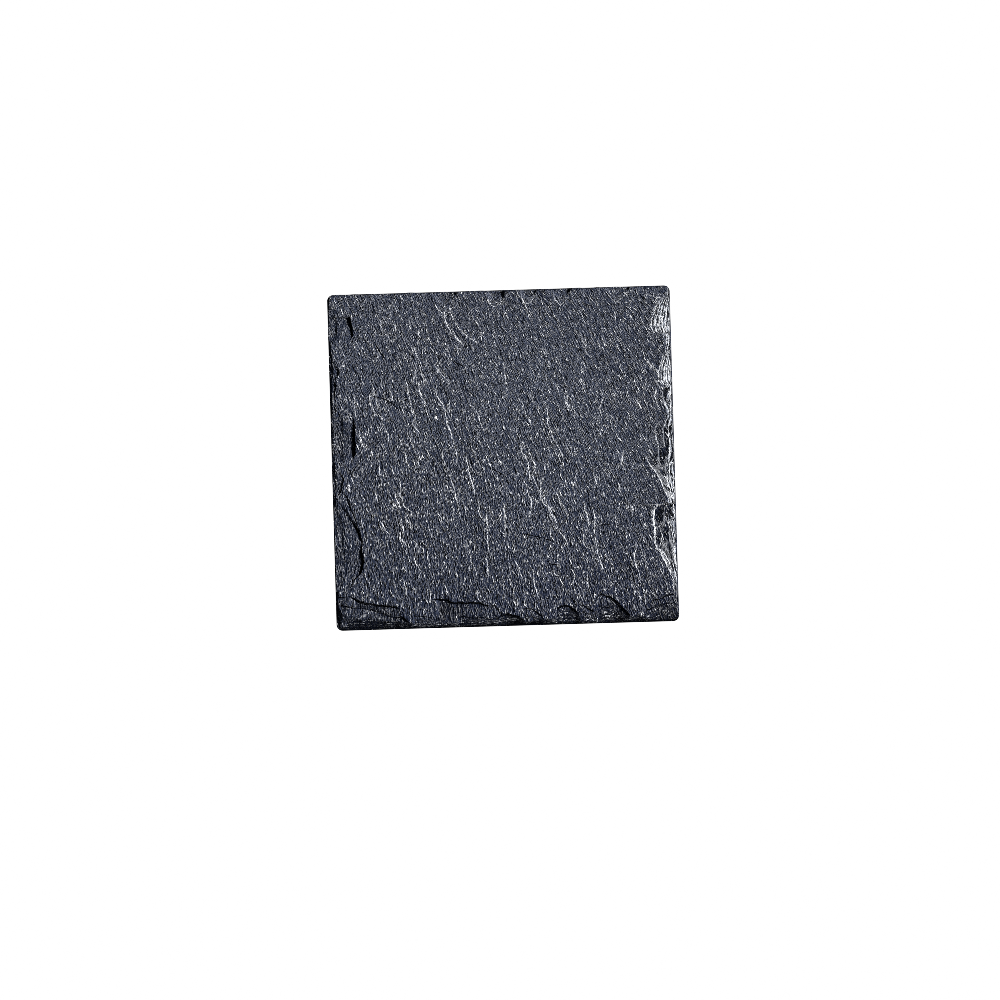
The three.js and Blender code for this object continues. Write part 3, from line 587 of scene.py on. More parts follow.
# %% [markdown]
# The stone is one solid lump, so its mesh has to be closed: the top's squares, the bands of the wall, the
# underside's squares and a fan between the fine lower edge and the coarse underside share their points.
# Merging separate pieces by distance could miss some, so the faces are numbered to share them from the
# start.

# %% Squares and bands
top_ids = np.arange(top_x.size).reshape(top_x.shape)
wall_ids = top_ids.size + np.arange(wall_x.size).reshape(wall_x.shape)
under_ids = top_ids.size + wall_ids.size + np.arange(under_x.size).reshape(under_x.shape)


def grid_faces(ids):
    """Squares between neighbouring rows and columns of a grid of point numbers, facing up."""
    return np.stack([ids[:-1, :-1], ids[:-1, 1:], ids[1:, 1:], ids[1:, :-1]], -1).reshape(-1, 4)


def band_faces(lower, upper):
    """Squares between two closed loops of the same length, facing out."""
    return np.stack([lower, np.roll(lower, -1), np.roll(upper, -1), upper], -1)


wall_loops = [*wall_ids, loop_of(top_ids)]
squares = [grid_faces(top_ids), grid_faces(under_ids)[:, ::-1]]
squares += [band_faces(a, b) for a, b in zip(wall_loops, wall_loops[1:])]
squares = np.concatenate(squares)
print(f"{len(squares)} squares")


# %% The fan under the edge
def fan_faces(fine, coarse):
    """Triangles between a fine loop and one with fewer points: each fine edge goes to its nearest coarse
    point, and each coarse edge to the fine point at its middle."""
    ratio = len(fine) // len(coarse)
    i, j = np.arange(len(fine)), np.arange(len(coarse))
    nearest = coarse[((i + ratio // 2) // ratio) % len(coarse)]
    from_fine = np.stack([np.roll(fine, -1), fine, nearest], -1)
    from_coarse = np.stack([fine[ratio * j + ratio // 2], coarse, np.roll(coarse, -1)], -1)
    return np.concatenate([from_fine, from_coarse])


fan = fan_faces(wall_ids[0], loop_of(under_ids))
print(f"{2 * len(squares) + len(fan)} triangles in all")

# %% The slab's mesh
grids = [(top_x, top_y, top_z), (wall_x, wall_y, wall_z), (under_x, under_y, under_z)]
points = np.concatenate([np.stack(grid, -1).reshape(-1, 3) for grid in grids])
mesh = bpy.data.meshes.new("slate_slab")
mesh.from_pydata((points * MM).tolist(), [], squares.tolist() + fan.tolist())
mesh.polygons.foreach_set("use_smooth", np.ones(len(mesh.polygons), bool))
mesh.update()
slab = bpy.data.objects.new("slate_slab", mesh)
bpy.context.scene.collection.objects.link(slab)
print(f"{slab.name}: {len(mesh.vertices)} points, {len(mesh.polygons)} faces, valid {not mesh.validate()}")

# %% [markdown]
# The finish changes with the place on the stone: the grain curves, the scars are duller, their lips are
# drawn as thin lines, and the right edge is frayed. A material can only read what is kept on the points, so
# each point keeps its distance across the grain, how deep in a scar it is, the layer it lies in, how its
# scar faces the light, and its distance from the nearest long line. UV maps could carry these too, but they
# hold just two numbers each.


# %% Numbers kept on the points
WALL_LAMINA = 0.2  # mm, the thickness of the layers on the wall


def keep(name, top, wall=0.0, under=0.0):
    """Stores one number for each point of the slab: the top's, then the wall's, then the underside's."""
    shares = zip((top, wall, under), (top_x, wall_x, under_x))
    values = np.concatenate([np.broadcast_to(value, grid.shape).ravel() for value, grid in shares])
    mesh.attributes.new(name, "FLOAT", "POINT").data.foreach_set("value", values.astype(np.float32))


keep("across_grain", *(across_grain(x, y) * MM for x, y, z in grids))
keep("scar_depth", deepest)
keep("layer_count", layer_count(deepest, top_x, top_y), wall_z / WALL_LAMINA)
keep("facing", scar_facing)
print([attribute.name for attribute in mesh.attributes])

# %% The frayed right edge and the dark rim
PALE_RIM = [  # how far the pale, frayed rim reaches in from the right edge: (place along the edge, reach)
    (-44, 0), (-40, 0.4), (-37, 1), (-33, 1.4), (-28, 1.2), (-24, 1.6), (-20, 2.4), (-17, 1.6),
    (-15.5, 1), (-14, 2.2), (-12, 2), (-8, 2.4), (-3, 2.2), (0, 2.2), (6, 2.4), (10, 2.2), (18, 2.2),
    (20, 2.6), (21, 3.8), (23, 3.6), (26, 3), (28, 2.4), (30, 1.8), (33, 1.8), (35, 3), (36, 5.2),
    (39, 5.6), (42, 5), (44, 3), (46, 1), (49, 0),
]
PALE_CHANGE = dict(share=0.25, length=1.3, seed=7)  # how the frayed rim's reach changes along the edge
PALE_FADE = 0.7  # mm over which it ends
PALE_LEAST = 0.2  # mm, a reach under which there is none
RIM_DARK = 0.45  # mm in from the edge to which the dark rim reaches
WALL_DARK = 0.3  # how dark the wall is, where the rim is 1
change = noise(top_y / PALE_CHANGE["length"], 0 * top_y, PALE_CHANGE["seed"])
reach = np.interp(top_y, *np.array(PALE_RIM).T) * (1 + PALE_CHANGE["share"] * change)
pale = smooth_step((reach - (HALF_X - top_x)) / PALE_FADE + 0.5) * (reach > PALE_LEAST)
outermost = np.minimum(HALF_X - np.abs(plan_x), HALF_Y - np.abs(plan_y))
keep("pale", pale)
keep("rim", 1 - smooth_step(outermost / RIM_DARK), WALL_DARK)
print(f"the frayed edge covers {pale.mean():.1%} of the points")

# %% The scars' lips as lines
LOWEST_LIP = 0.04  # mm, the lowest lip that shows as a line
UNDERCUT = 0.12  # mm, how far another scar may have cut below a lip before it is gone
FULL_LIP = 0.2  # mm, the height at which a lip is as strong as a drawn line
STRONGEST = 2  # a high lip is up to this many times as strong
for scar, (depth, inward, lip) in zip(SCARS, shapes):
    facing = FACING[scar[0]]
    signed = -inward if facing > 0 else inward
    nearer = (np.abs(signed) < np.abs(edge_distance)) & (lip > LOWEST_LIP) & (depth >= deepest - UNDERCUT)
    edge_distance = np.where(nearer, signed, edge_distance)
    strength = np.sign(facing) * np.minimum(lip / FULL_LIP, STRONGEST)
    edge_strength = np.where(nearer, strength, edge_strength)
keep("edge_distance", edge_distance, FADE_OUT, FADE_OUT)
keep("edge_strength", edge_strength)
print(f"{(np.abs(edge_distance) < FADE_OUT).mean():.0%} of the points are near a line or a lip")

# %% [markdown]
# Natural slate, riven: a dark blue-grey stone of mica, chlorite and quartz. Its flakes of mica all lie in
# the cleavage, which gives the split face a satin glint where a facet turns to the light, while the broken
# scars are duller. There is no polish, so the reflection is soft. An image would fix the pattern to one
# resolution, and nodes stay sharp at any distance, so the stone is made of nodes.


# %% Colours
def linear(hex_colour):
    """sRGB hex to linear: each channel c becomes ((c + 0.055) / 1.055) ^ 2.4, or c / 12.92 near black."""
    channels = [int(hex_colour[i : i + 2], 16) / 255 for i in (0, 2, 4)]
    return [c / 12.92 if c <= 0.04045 else ((c + 0.055) / 1.055) ** 2.4 for c in channels] + [1]


print("the slate's blue-grey is", [round(c, 3) for c in linear("31394e")])


# %% A node and its links
def node(kind, settings, *values, output=None, **named):
    """Adds a node to the tree that is being made: sets its properties, then its inputs, in order or by name.

    A plain value is set, and another node's output is linked. It returns the named output or the first."""
    made = tree.nodes.new("ShaderNode" + kind)
    for name, value in settings.items():
        setattr(made, name, value)
    in_use = [socket for socket in made.inputs if socket.enabled]
    sockets = in_use[: len(values)] + [made.inputs[name.replace("_", " ")] for name in named]
    for socket, value in zip(sockets, [*values, *named.values()]):
        if isinstance(value, bpy.types.NodeSocket):
            tree.links.new(value, socket)
        else:
            socket.default_value = value
    results = [socket for socket in made.outputs if socket.enabled]
    return made.outputs[output] if output else next(iter(results), None)


def new_material(name):
    """An empty node material."""
    material = bpy.data.materials.new(name)
    material.use_nodes = True
    material.node_tree.nodes.clear()
    return material


SUM, LESS, TIMES, LARGER, PART, SIZE = (
    dict(operation=name) for name in ("ADD", "SUBTRACT", "MULTIPLY", "MAXIMUM", "FRACT", "ABSOLUTE")
)
CLAMPED = dict(clamp=True)  # a range that stops at its ends
COLOUR, NUMBER = dict(data_type="RGBA"), dict(data_type="FLOAT")
riven_slate = new_material("riven_slate")
tree = riven_slate.node_tree
print(f"{riven_slate.name} has {len(tree.nodes)} nodes so far")

# %% [markdown]
# On the real face everything is drawn out along the grain, so the noise is too: its first coordinate is the
# kept distance across the grain, and its second is shrunk by how much longer than wide the streaks are.

# %% Noise along the grain
place = node("TexCoord", {}, output="Object")
place_x, place_y, place_z = (node("SeparateXYZ", {}, place, output=axis) for axis in "XYZ")
across, scar_depth, layer_number, scar_faces, frayed, dark_rim, line_distance, line_strength = (
    node("Attribute", dict(attribute_name=name), output="Fac")
    for name in (
        "across_grain", "scar_depth", "layer_count", "facing",
        "pale", "rim", "edge_distance", "edge_strength",
    )
)
grain_place = node("CombineXYZ", {}, across, place_y, place_z)
MOST = (0.3, 0.7)  # the range in which most of a noise's values lie


def grain_noise(size, stretch, detail, roughness=0.5, shift=0.0):
    """Noise of a size in mm across the grain, drawn out along it by the stretch."""
    where = node("Mapping", {}, grain_place, Location=(shift, shift, 0), Scale=(1, 1 / stretch, 1))
    return node("TexNoise", {}, where, Scale=1 / (size * MM), Detail=detail, Roughness=roughness)


print(f"the material reads {sum(made.type == 'ATTRIBUTE' for made in tree.nodes)} numbers of each point")

# %% [markdown]
# A long leaf edge that steps down towards the light catches it as a thin bright line, drawn as a painted
# highlight. A high lip shows a wider one, and a step that is turned away a dark one, drawn as painted shade.
# Most are 0.1 to 0.3 mm wide, no wider than the mesh's spacing, so the material draws them from the kept
# distance. Noise strays them and breaks them up, as no edge on the stone is whole.

# %% Bright lines
STRAY = 0.22  # mm, how far a line strays from its straight stretches
LINE_HALF = (0.14, 0.05)  # mm from the line's middle: it starts at the first and is full at the second
LIP_WIDER = 0.14  # mm by which a high lip's line is wider to each side
PARTS_SHOWN = (0.44, 0.5)  # where the noise lies below the first, a line is broken off
LIP_PARTS = (0.62, 0.95)  # how bright a lip's missing parts still are, for a low lip and a high one
LINE_STEP = 0.12  # mm to each side of a line over which the bump steps down
ENDS, LOW_LIP, HIGH_LIP = (0, 0.6), (0.8, 1.6), (1, 2)  # ranges of the strength of lines
stray = grain_noise(size=0.8, stretch=1.6, detail=2, roughness=0.6)
stray = node("MapRange", CLAMPED, stray, *MOST, -STRAY, STRAY)
from_line = node("Math", SUM, line_distance, stray)
wider = node("MapRange", CLAMPED, line_strength, *HIGH_LIP, 0, LIP_WIDER)
on_line = node("Math", LESS, node("Math", SIZE, from_line), wider)
on_line = node("MapRange", CLAMPED, on_line, *LINE_HALF)
broken = grain_noise(size=0.4, stretch=3.5, detail=0, shift=2.1)
broken = node("MapRange", CLAMPED, broken, *PARTS_SHOWN)
whole = node("MapRange", CLAMPED, line_strength, *LOW_LIP, *LIP_PARTS)
shown = node("Math", LARGER, broken, whole)
line_lit = node("Math", TIMES, on_line, node("MapRange", CLAMPED, line_strength, *ENDS))
line_lit = node("Math", TIMES, line_lit, shown)
line_height = node("MapRange", CLAMPED, from_line, LINE_STEP, -LINE_STEP)
line_height = node("Math", TIMES, line_height, line_strength)
print(f"a bright line is {2 * LINE_HALF[1]:.1f} to {2 * (LINE_HALF[0] + LIP_WIDER):.1f} mm wide")

# %% Dark lines
DARK_START = (-0.2, -0.14)  # mm from the line's middle, on the side that is turned from the light
DARK_END = (0.14, 0.06)
DARK_WIDER = 0.22  # mm by which the shade before a high lip starts earlier
DARK_LATER = 0.5  # and how much later it ends, as a share of that
LIP_STRAY = 0.4  # a dark line strays by this share of what a bright one does
DARK_ENDS, DARK_LIP = (0, -0.5), (-1, -2)  # ranges of the strength, which is below zero for dark lines
from_lip = node("Math", SUM, line_distance, node("Math", TIMES, stray, LIP_STRAY))
wider = node("MapRange", CLAMPED, line_strength, *DARK_LIP, 0, DARK_WIDER)
begun = node("MapRange", CLAMPED, node("Math", SUM, from_lip, wider), *DARK_START)
past_lip = node("Math", LESS, from_lip, node("Math", TIMES, wider, DARK_LATER))
not_over = node("MapRange", CLAMPED, past_lip, *DARK_END)
line_shady = node("Math", TIMES, begun, not_over)
line_shady = node("Math", TIMES, line_shady, node("MapRange", CLAMPED, line_strength, *DARK_ENDS))
print(f"a dark line is about {DARK_END[0] - DARK_START[0]:.1f} mm wide")

# %% [markdown]
# Between the long edges the face is covered with thousands of short ones, each the curled end of a leaf
# thinner than paper. They can't be listed, so a saw-tooth wave across the grain makes them: it climbs
# slowly to an edge, drops from it, and one noise bends the wave while another leaves only parts of it. On
# the stone they are about as fine as the photograph's pixels. They are drawn as coarse as they need to be
# to show in a render.

# %% Short leaf edges
EDGE_RISE, EDGE_FALL = 0.24, 0.18  # mm over which a leaf curls up to its edge and drops from it
GRAIN_SHARE, UPRIGHT = 1.15, -0.15  # shares of the grain's slant and of an upright line's in a short edge's
LIT_SHARE = 0.3  # the part of the drop after which an edge is fully lit
PART_STRETCH, PART_FADE = 3.3, 0.1  # how long the shown parts are, and how softly they end
LONG_LEAVES = dict(pitch=3.4, wander=9, size=5.9, stretch=2.6, detail=4, part=6.7, least=0.52, shift=3.1)
SHORT_LEAVES = dict(pitch=0.8, wander=2, size=1, stretch=4, detail=0, part=0.5, least=0.52, shift=4.1)
CLOSE_LEAVES = dict(pitch=0.68, wander=2, size=1.3, stretch=3, detail=0, part=0.55, least=0.54, shift=9.1)
DULL_LEAVES = dict(pitch=0.6, wander=1.5, size=1, stretch=3, detail=0, part=0.6, least=0.45, shift=12.3)
steep = node("Math", TIMES, across, GRAIN_SHARE)
steep = node("Math", SUM, steep, node("Math", TIMES, place_x, UPRIGHT))


def leaf_edges(run, pitch, wander, size, stretch, detail, part, least, shift):
    """Curled edges of thin leaves, about a pitch apart along the run: their height, and where they are lit
    and shady. The height climbs within EDGE_RISE and drops within EDGE_FALL, and only parts of them show."""
    bend = node("Math", TIMES, grain_noise(size, stretch, detail, 0.55, shift), wander / pitch)
    wave = node("Math", SUM, node("Math", TIMES, run, 1 / (pitch * MM)), bend)
    wave = node("Math", PART, wave)
    top = 1 - EDGE_FALL / pitch
    shown = grain_noise(part, PART_STRETCH, 2, 0.6, shift + 4.6)
    shown = node("MapRange", CLAMPED, shown, least, least + PART_FADE)
    climb = node("MapRange", CLAMPED, wave, top - EDGE_RISE / pitch, top)
    height = node("Math", LESS, climb, node("MapRange", CLAMPED, wave, top, 1))
    shady = node("Math", LESS, climb, node("MapRange", CLAMPED, wave, top - 0.01, top))
    lit = node("MapRange", CLAMPED, wave, top, top + LIT_SHARE * EDGE_FALL / pitch)
    return [node("Math", TIMES, pattern, shown) for pattern in (height, lit, shady)]


long_height, long_lit, long_shady = leaf_edges(across, **LONG_LEAVES)
short_height, short_lit, short_shady = leaf_edges(steep, **SHORT_LEAVES)
close_height, close_lit, close_shady = leaf_edges(steep, **CLOSE_LEAVES)
dull_height = leaf_edges(steep, **DULL_LEAVES)[0]
lit = node("Math", LARGER, node("Math", LARGER, long_lit, short_lit), close_lit)
lit = node("Math", TIMES, lit, broken)
shady = node("Math", LARGER, node("Math", LARGER, long_shady, short_shady), close_shady)
print(f"the short edges are {CLOSE_LEAVES['pitch']} to {LONG_LEAVES['pitch']} mm apart")

# %% [markdown]
# In a scar the ends of the layers show as thin ledges: lit where they face the light, as on the right side,
# and dark where they are turned from it. The mesh has the terraces, but too coarsely for so thin a line. So
# the material takes the fraction of the kept layer number, which runs from 0 to 1 over each layer.

# %% Ledges in the scars
IN_SCAR = (0.03, 0.25)  # mm of depth over which the ledges begin to show
WAVER = 0.12  # of a layer, by which a ledge's line wavers
LIT_BEGINS, LIT_ENDS = (0.5, 0.62), (1, 0.88)  # parts of a layer over which its lit ledge comes and goes
DIM_BEGINS, DIM_ENDS = (0.1, 0.2), (0.5, 0.4)  # and over which its dark one does
LIT_SIDES = (0.2, 1)  # of FACING: the far side's ledges are a little lit, and the right side's fully
SQUARE_SIDES = (0.58, 0.7)  # the right and near sides' ledges show a dark line too, whichever way they face
LEDGE_STRENGTH = 0.8  # beside the long edges' 1
FRAYED_LEAST = 0.3  # how much a ledge shows on the right side where the edge isn't frayed
uneven = grain_noise(size=0.5, stretch=2.5, detail=1, shift=6.6)
uneven = node("MapRange", CLAMPED, uneven, *MOST, -WAVER, WAVER)
terrace = node("Math", PART, node("Math", SUM, layer_number, uneven))
in_scar = node("MapRange", CLAMPED, scar_depth, *IN_SCAR)
ledge_lit = node("MapRange", CLAMPED, terrace, *LIT_BEGINS)
ledge_lit = node("Math", TIMES, ledge_lit, node("MapRange", CLAMPED, terrace, *LIT_ENDS))
ledge_lit = node("Math", TIMES, ledge_lit, in_scar)
ledge_lit = node("Math", TIMES, ledge_lit, node("MapRange", CLAMPED, scar_faces, *LIT_SIDES))
ledge_lit = node("Math", TIMES, ledge_lit, node("MapRange", CLAMPED, frayed, 0, 1, FRAYED_LEAST, 1))
ledge_dark = node("MapRange", CLAMPED, terrace, *DIM_BEGINS)
ledge_dark = node("Math", TIMES, ledge_dark, node("MapRange", CLAMPED, terrace, *DIM_ENDS))
ledge_dark = node("Math", TIMES, ledge_dark, in_scar)
squarely = node("MapRange", CLAMPED, node("Math", SIZE, scar_faces), *SQUARE_SIDES)
ledge_dark = node("Math", TIMES, ledge_dark, squarely)
lit = node("Math", LARGER, lit, line_lit)
lit = node("Math", LARGER, lit, node("Math", TIMES, ledge_lit, LEDGE_STRENGTH))
shady = node("Math", LARGER, shady, node("Math", TIMES, ledge_dark, LEDGE_STRENGTH))
print(f"the ledges show from {IN_SCAR[0]} mm of depth on")

# %% [markdown]
# The light comes from the right, so the scars of the near and left sides lie in shade. Theirs is the
# blackest part of the picture, with a few bright specks where a chip of mica catches the light. A lamp
# alone leaves them too grey, because the real hollows are rough and trap the light, so the material paints
# shade on them, and paints the specks as glints.

# %% Scars turned from the light
SHADE_DEPTH = (0.05, 0.2)  # mm of depth over which a scar comes into the shade
HOLLOW_DEPTH = (0.7, 1.2)  # and over which it becomes a black hollow
DUSKY_DEPTH, DUSKY = (0.15, 0.5), 0.35  # and over which it turns dusky, and by how much
LIT_IN_SHADE = 0.4  # how bright the edges in the shade are, beside those in the light
SPECK_FROM, SPECK_TO = (0.6, 0.8), (1.8, 1.5)  # mm of depth between which the specks lie
NEAR_SIDE, SHADY_SIDES = (-0.55, -0.65), (-0.3, -0.6)  # of FACING: the near side, and also the left
SPECK_NOISE, SPECK_BEGINS, SPECK_ENDS = (0.52, 0.56), (0.55, 0.65), (1, 0.9)  # the last two in a layer
turned_away = node("MapRange", CLAMPED, scar_faces, *NEAR_SIDE)
left_or_near = node("MapRange", CLAMPED, scar_faces, *SHADY_SIDES)
in_shade = node("Math", TIMES, left_or_near, node("MapRange", CLAMPED, scar_depth, *SHADE_DEPTH))
lit = node("Math", TIMES, lit, node("MapRange", CLAMPED, in_shade, 0, 1, 1, LIT_IN_SHADE))
hollow = node("Math", TIMES, turned_away, node("MapRange", CLAMPED, scar_depth, *HOLLOW_DEPTH))
dusky = node("MapRange", CLAMPED, scar_depth, *DUSKY_DEPTH, 0, DUSKY)
dusky = node("Math", TIMES, left_or_near, dusky)
# painted glints: specks of mica in the hollows that catch the light
speck = grain_noise(size=0.9, stretch=0.5, detail=1, shift=8.8)
speck = node("MapRange", CLAMPED, speck, *SPECK_NOISE)
speck = node("Math", TIMES, speck, node("MapRange", CLAMPED, terrace, *SPECK_BEGINS))
speck = node("Math", TIMES, speck, node("MapRange", CLAMPED, terrace, *SPECK_ENDS))
speck = node("Math", TIMES, speck, turned_away)
speck = node("Math", TIMES, speck, node("MapRange", CLAMPED, scar_depth, *SPECK_FROM))
speck = node("Math", TIMES, speck, node("MapRange", CLAMPED, scar_depth, *SPECK_TO))
print(f"the sides that face away: {[side for side in FACING if FACING[side] < 0]}")

# %% [markdown]
# What is finer than the mesh still has to turn the light, so the same patterns are laid over one another as
# bumps, each with a height in mm. The short edges get several times their real height, because a pixel is
# as wide as they are and would hide it. The lines are already drawn, and a strong bump on top would speckle
# them, so the finest relief is quieter there.

# %% Relief
QUIET, DULL = 0.1, 0.5  # strength of the finest relief on the lines, and of the short edges in the shade
darkest = node("Math", LARGER, line_shady, hollow)
quiet = node("MapRange", CLAMPED, node("Math", LARGER, lit, darkest), 0, 1, 1, QUIET)
duller = node("MapRange", CLAMPED, in_shade, 0, 1, 1, DULL)
terrace_height = node("Math", TIMES, node("MapRange", CLAMPED, terrace, 1, 0.5), in_scar)
RELIEF = [  # (pattern, height in mm, strength)
    (grain_noise(size=0.32, stretch=3, detail=0), 0.25, quiet),
    (long_height, 0.2, 1),
    (dull_height, 0.22, 1),
    (node("Math", LARGER, short_height, close_height), 0.75, duller),
    (line_height, 0.12, 1),
    (terrace_height, 0.15, 1),
]
below = {}
for pattern, height, strength in RELIEF:
    relief = node("Bump", {}, Strength=strength, Distance=height * MM, Height=pattern, **below)
    below = dict(Normal=relief)
print(f"{len(RELIEF)} layers of relief")

# %% [markdown]
# The colour is built up the way the eye finds it: two blue-greys in soft patches, painted shade towards the
# near and right sides and on the right side's lit scar slopes, then the frayed edge with painted light on its
# fibres and painted shade between them, and last the painted highlights and shades of the lines, ledges and
# scars worked out above. Each is one more mix over the ones before, so any of them can be changed alone.

# %% Patches, and where shade and light are painted
PATCHES = 45  # to the metre, so a patch is about 22 mm
FIBRES = 2200  # to the metre, so a fibre of the frayed edge is about 0.45 mm
FIBRE_LONGER = (1, 0.16, 0.3)  # they lie along the edge, so the pattern is drawn out along Y
FIBRE_RANGE = (0.46, 0.53)  # the noise between a gap and a fibre
# how strong the painted shade in the gaps between the fibres is
GAP_SHADE = 0.65
NEAR_RAMP = (0.005, -0.046, 0, 0.5)  # from and to this Y in metres, the painted shade grows from 0 to 0.5
NEAR_SLANT = (-0.05, 0.05, 0.2, 1.9)  # and it is stronger on the right: the first two are X in metres
# from and to this X in metres, the painted shade on the right grows from 0 to 0.3
RIGHT_RAMP = (0.02, 0.05, 0, 0.3)
RIGHT_SIDE, SLOPE_DEPTH = (0.9, 1), (0.05, 0.3)  # of FACING, and of the depth in mm
patch = node("TexNoise", {}, place, Scale=PATCHES, Detail=4, Roughness=0.6)
# painted shade towards the near side, away from the lamp
near_painted_shade = node("MapRange", CLAMPED, place_y, *NEAR_RAMP)
near_painted_shade = node("Math", TIMES, near_painted_shade, node("MapRange", CLAMPED, place_x, *NEAR_SLANT))
# painted shade towards the right side, to tone down the lamp there
right_painted_shade = node("MapRange", CLAMPED, place_x, *RIGHT_RAMP)
# the right side's scar slopes that face the lamp: they get painted shade and reflect less
lit_slope = node("MapRange", CLAMPED, scar_faces, *RIGHT_SIDE)
lit_slope = node("Math", TIMES, lit_slope, node("MapRange", CLAMPED, scar_depth, *SLOPE_DEPTH))
# the frayed edge's fibres: paler crushed stone with painted light on it, and painted shade in the gaps
fibres = node("Mapping", {}, place, Scale=FIBRE_LONGER)
fibres = node("TexNoise", {}, fibres, Scale=FIBRES, Detail=1, Roughness=0.6)
fibre = node("MapRange", CLAMPED, fibres, *FIBRE_RANGE)
gap = node("MapRange", CLAMPED, fibres, *FIBRE_RANGE, GAP_SHADE, 0)
fibre, gap = (node("Math", TIMES, part, frayed) for part in (fibre, gap))
print(f"patches of {1000 / PATCHES:.0f} mm and fibres of {1000 / FIBRES:.2f} mm")

# %% Colour
BLUE_GREY, PALER_GREY = "31394e", "3c455a"
# strengths of the painted shade in the deepest hollows and on the lit scar slopes, and of the dark rim
HOLLOW_DARK, LIT_SLOPE_SHADE, EDGE_DARK = 0.8, 0.5, 0.75
# painted shade in the near side's deepest scars
hollow_shade = node("Math", TIMES, hollow, HOLLOW_DARK)
TINTS = [  # (where, colour), each over the ones before
    (near_painted_shade, "1c2540"),  # painted shade: darker and bluer towards the near side, away from the lamp
    (right_painted_shade, "20273a"),  # painted shade, greyer, towards the right side, where the lamp is strongest
    (node("Math", TIMES, lit_slope, LIT_SLOPE_SHADE), "161b28"),  # painted shade on the right side's scar slopes that face the lamp
    (gap, "0d111b"),  # painted shade between the frayed edge's fibres
    (fibre, "a4abb8"),  # crushed and paler, and painted light, as the frayed right edge faces the lamp
    (shady, "06080d"),  # beside the short edges and ledges, on the side turned from the light
    (lit, "f6f8fc"),  # painted highlight where the edges, lines and ledges catch the light
    (line_shady, "05060a"),  # beside the long edges and the lips
    (hollow_shade, "080a13"),  # painted shade in the near side's deepest scars
    (dusky, "1a2134"),  # the other scars in the shade
    (speck, "eef1f6"),  # painted glints, where chips of mica in the hollows catch the light
    (node("Math", TIMES, dark_rim, EDGE_DARK), "0a0c14"),  # the rim and the broken wall
]
patch = node("MapRange", CLAMPED, patch, *MOST)
shade = node("Mix", COLOUR, patch, linear(BLUE_GREY), linear(PALER_GREY))
for where, tint in TINTS:
    shade = node("Mix", COLOUR, where, shade, linear(tint))
print(f"{len(TINTS)} tints over the blue-grey")

# %% Gloss
SATIN = (0.34, 0.46)  # roughness of the split face, from its glossier to its duller spots
LIT_EDGE_ROUGHNESS = 0.22  # roughness at the edges with the painted highlight
MINERAL_IOR = 1.5  # typical of slate's minerals
SPECULAR, MATT_SPECULAR = 0.45, 0.06  # the split face's reflection, and that of broken stone and hollows
gloss = grain_noise(size=0.77, stretch=2, detail=1, shift=5)
gloss = node("MapRange", CLAMPED, gloss, *MOST, *SATIN)
gloss = node("Mix", NUMBER, lit, gloss, LIT_EDGE_ROUGHNESS)
matt = node("Math", LARGER, lit_slope, node("Math", LARGER, line_shady, hollow_shade))
shine = node("MapRange", CLAMPED, matt, 0, 1, SPECULAR, MATT_SPECULAR)
finish = dict(Base_Color=shade, Roughness=gloss, Normal=relief, IOR=MINERAL_IOR, Specular_IOR_Level=shine)
surface = node("BsdfPrincipled", {}, **finish)
node("OutputMaterial", {}, Surface=surface)
mesh.materials.append(riven_slate)
print(f"{riven_slate.name}: {len(tree.nodes)} nodes")

# %% [markdown]
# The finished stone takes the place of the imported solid, which only gave its size.

# %% Hand the finished stone over
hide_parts("slab")
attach(slab, "root")
print(f"{slab.name} stands in for the packed slab")

# %% [markdown]
# The photograph is a cut-out on pure white, without a shadow. A white floor under a lamp would be grey in
# places, so the floor is a cove of white acrylic that is lit from behind and curves up all round. It is
# seen as pure white from every side, and it casts no light or shadow on the stone.

# %% The floor
FLAT, RISE, WALL_TOP = 4.0, 4.0, 10.0  # m: the flat part's radius, the curve's radius, and the top's height
TURNS, AROUND = 8, 48
bend = np.linspace(0, math.pi / 2, TURNS + 1)
radii = np.concatenate([FLAT + RISE * np.sin(bend), [FLAT + RISE]])
heights = np.concatenate([RISE * (1 - np.cos(bend)), [WALL_TOP]])
round_angles = np.linspace(0, 2 * math.pi, AROUND, endpoint=False)
cove = [(r * math.cos(a), r * math.sin(a), z) for r, z in zip(radii, heights) for a in round_angles]
rings = np.arange(len(cove)).reshape(-1, AROUND)
cove_faces = [face for outer, inner in zip(rings[1:], rings) for face in band_faces(outer, inner).tolist()]
floor_mesh = bpy.data.meshes.new("floor")
floor_mesh.from_pydata(cove, [], cove_faces + [rings[0].tolist()])
floor_mesh.polygons.foreach_set("use_smooth", np.ones(len(floor_mesh.polygons), bool))
floor = bpy.data.objects.new("floor", floor_mesh)
bpy.context.scene.collection.objects.link(floor)
print(f"the floor is a cove {2 * (FLAT + RISE):.0f} m wide")

# %% The floor's light
lit_acrylic = new_material("lit_white_acrylic")
tree = lit_acrylic.node_tree
node("OutputMaterial", {}, Surface=node("Emission", {}, Color=linear("ffffff"), Strength=1.0))
floor_mesh.materials.append(lit_acrylic)
floor.visible_diffuse = False
floor.visible_glossy = False
floor.visible_shadow = False
print(f"{floor.name} is of {lit_acrylic.name}")

# %% [markdown]
# The photograph's light is low and on the right, and slightly from behind: it brings out the grain, lights
# the lips that face it and leaves the near and left scars dark. One small softbox does that. Without a
# second one, low on the left, those scars would be quite black, so a weak one fills them in.


# %% The lights
def softbox(name, azimuth, elevation, distance, size, power):
    """A square area light at this direction and distance from the slab, turned to face it."""
    light = bpy.data.lights.new(name, "AREA")
    light.size = size
    light.energy = power
    lamp = bpy.data.objects.new(name, light)
    a, e = math.radians(azimuth), math.radians(elevation)
    lamp.location = distance * Vector((math.cos(a) * math.cos(e), math.sin(a) * math.cos(e), math.sin(e)))
    lamp.rotation_euler = lamp.location.to_track_quat("Z", "Y").to_euler()
    lamp.visible_camera = False
    bpy.context.scene.collection.objects.link(lamp)
    print(f"{name}: {power} W from {azimuth} degrees round and {elevation} up")


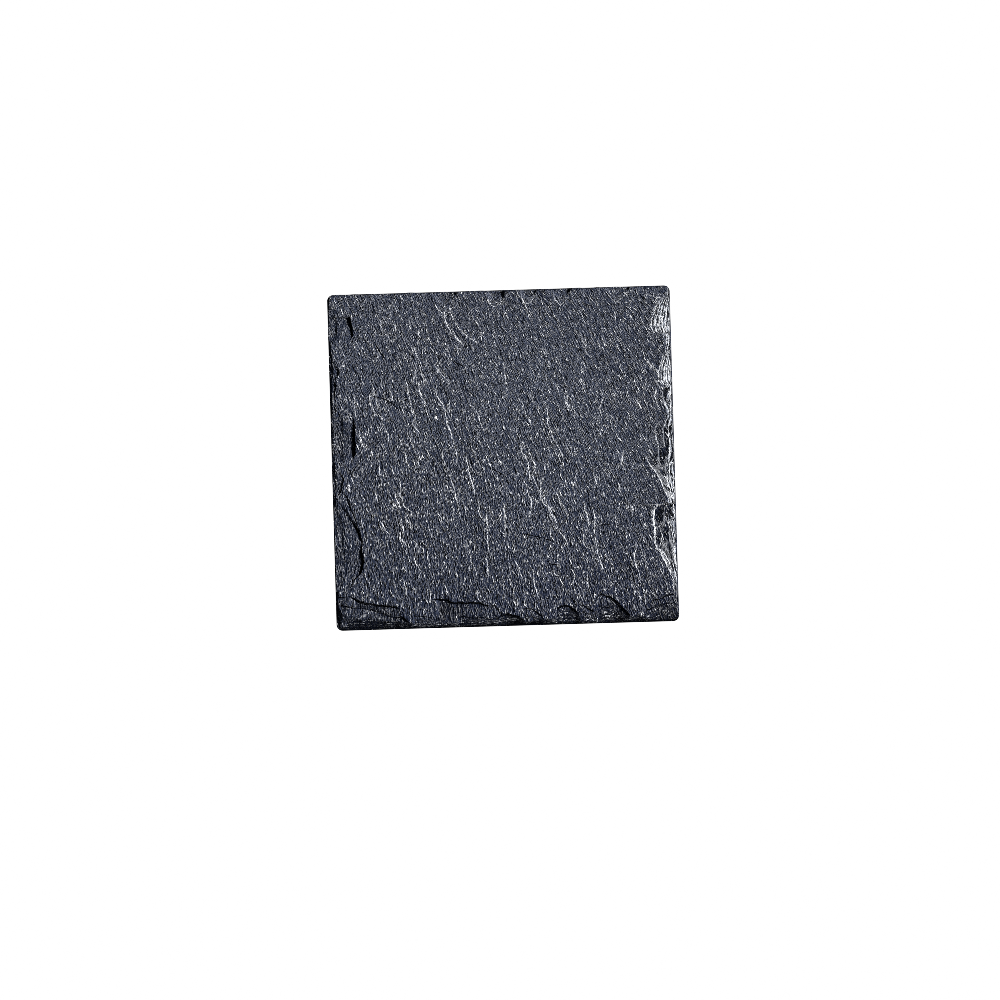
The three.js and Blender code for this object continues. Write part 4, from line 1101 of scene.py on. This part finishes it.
softbox("key", azimuth=18, elevation=24, distance=2.4, size=0.3, power=106)
softbox("fill", azimuth=240, elevation=3, distance=2.4, size=0.6, power=6)

# %% The sky
SKY_BLUE, SKY_STRENGTH = "b8d0ff", 0.02  # just enough to keep the shade from going quite black
world = bpy.data.worlds.new("studio")
world.use_nodes = True
bpy.context.scene.world = world
world.node_tree.nodes["Background"].inputs["Color"].default_value = linear(SKY_BLUE)
world.node_tree.nodes["Background"].inputs["Strength"].default_value = SKY_STRENGTH
print(f"the sky's strength is {SKY_STRENGTH}")

# %% [markdown]
# The view is from straight above, so a long lens far away gives the photograph's even scale. The slab is
# turned a little in the frame and sits above its middle.

# %% The camera
FRAME_WIDTH = 291.8  # mm of floor across the photograph
TURN = math.radians(1.67)
SLAB_RIGHT, SLAB_UP = 0.91, 12.22  # mm from the frame's centre to the slab's
LENS, SENSOR = 200, 36
camera_data = bpy.data.cameras.new("camera")
camera_data.lens = LENS
camera_data.sensor_width = SENSOR
camera = bpy.data.objects.new("camera", camera_data)
camera.rotation_euler = Euler((0, 0, -TURN))
right = Vector((math.cos(TURN), -math.sin(TURN), 0))
up = Vector((math.sin(TURN), math.cos(TURN), 0))
height = Vector((0, 0, FRAME_WIDTH * MM * LENS / SENSOR))
camera.location = height - MM * (SLAB_RIGHT * right + SLAB_UP * up)
bpy.context.scene.collection.objects.link(camera)
bpy.context.scene.camera = camera
bpy.context.scene.view_settings.view_transform = "Standard"
print(f"the camera is {camera.location.z:.2f} m up")

# %% [markdown]
# The stone's grain is as fine as the photograph's pixels. Denoising would smear it, and so would the usual
# wide pixel filter, so the first is off and the second is narrow.

# %% The picture
PIXEL_FILTER = 0.7  # pixels
bpy.context.scene.cycles.use_denoising = False
bpy.context.scene.cycles.filter_width = PIXEL_FILTER
print(f"the pixel filter is {PIXEL_FILTER} pixels wide")

# %% [markdown]
# The finished stone should be as large as the imported solid, apart from its fine relief.

# %% The end
print("the scene is made")
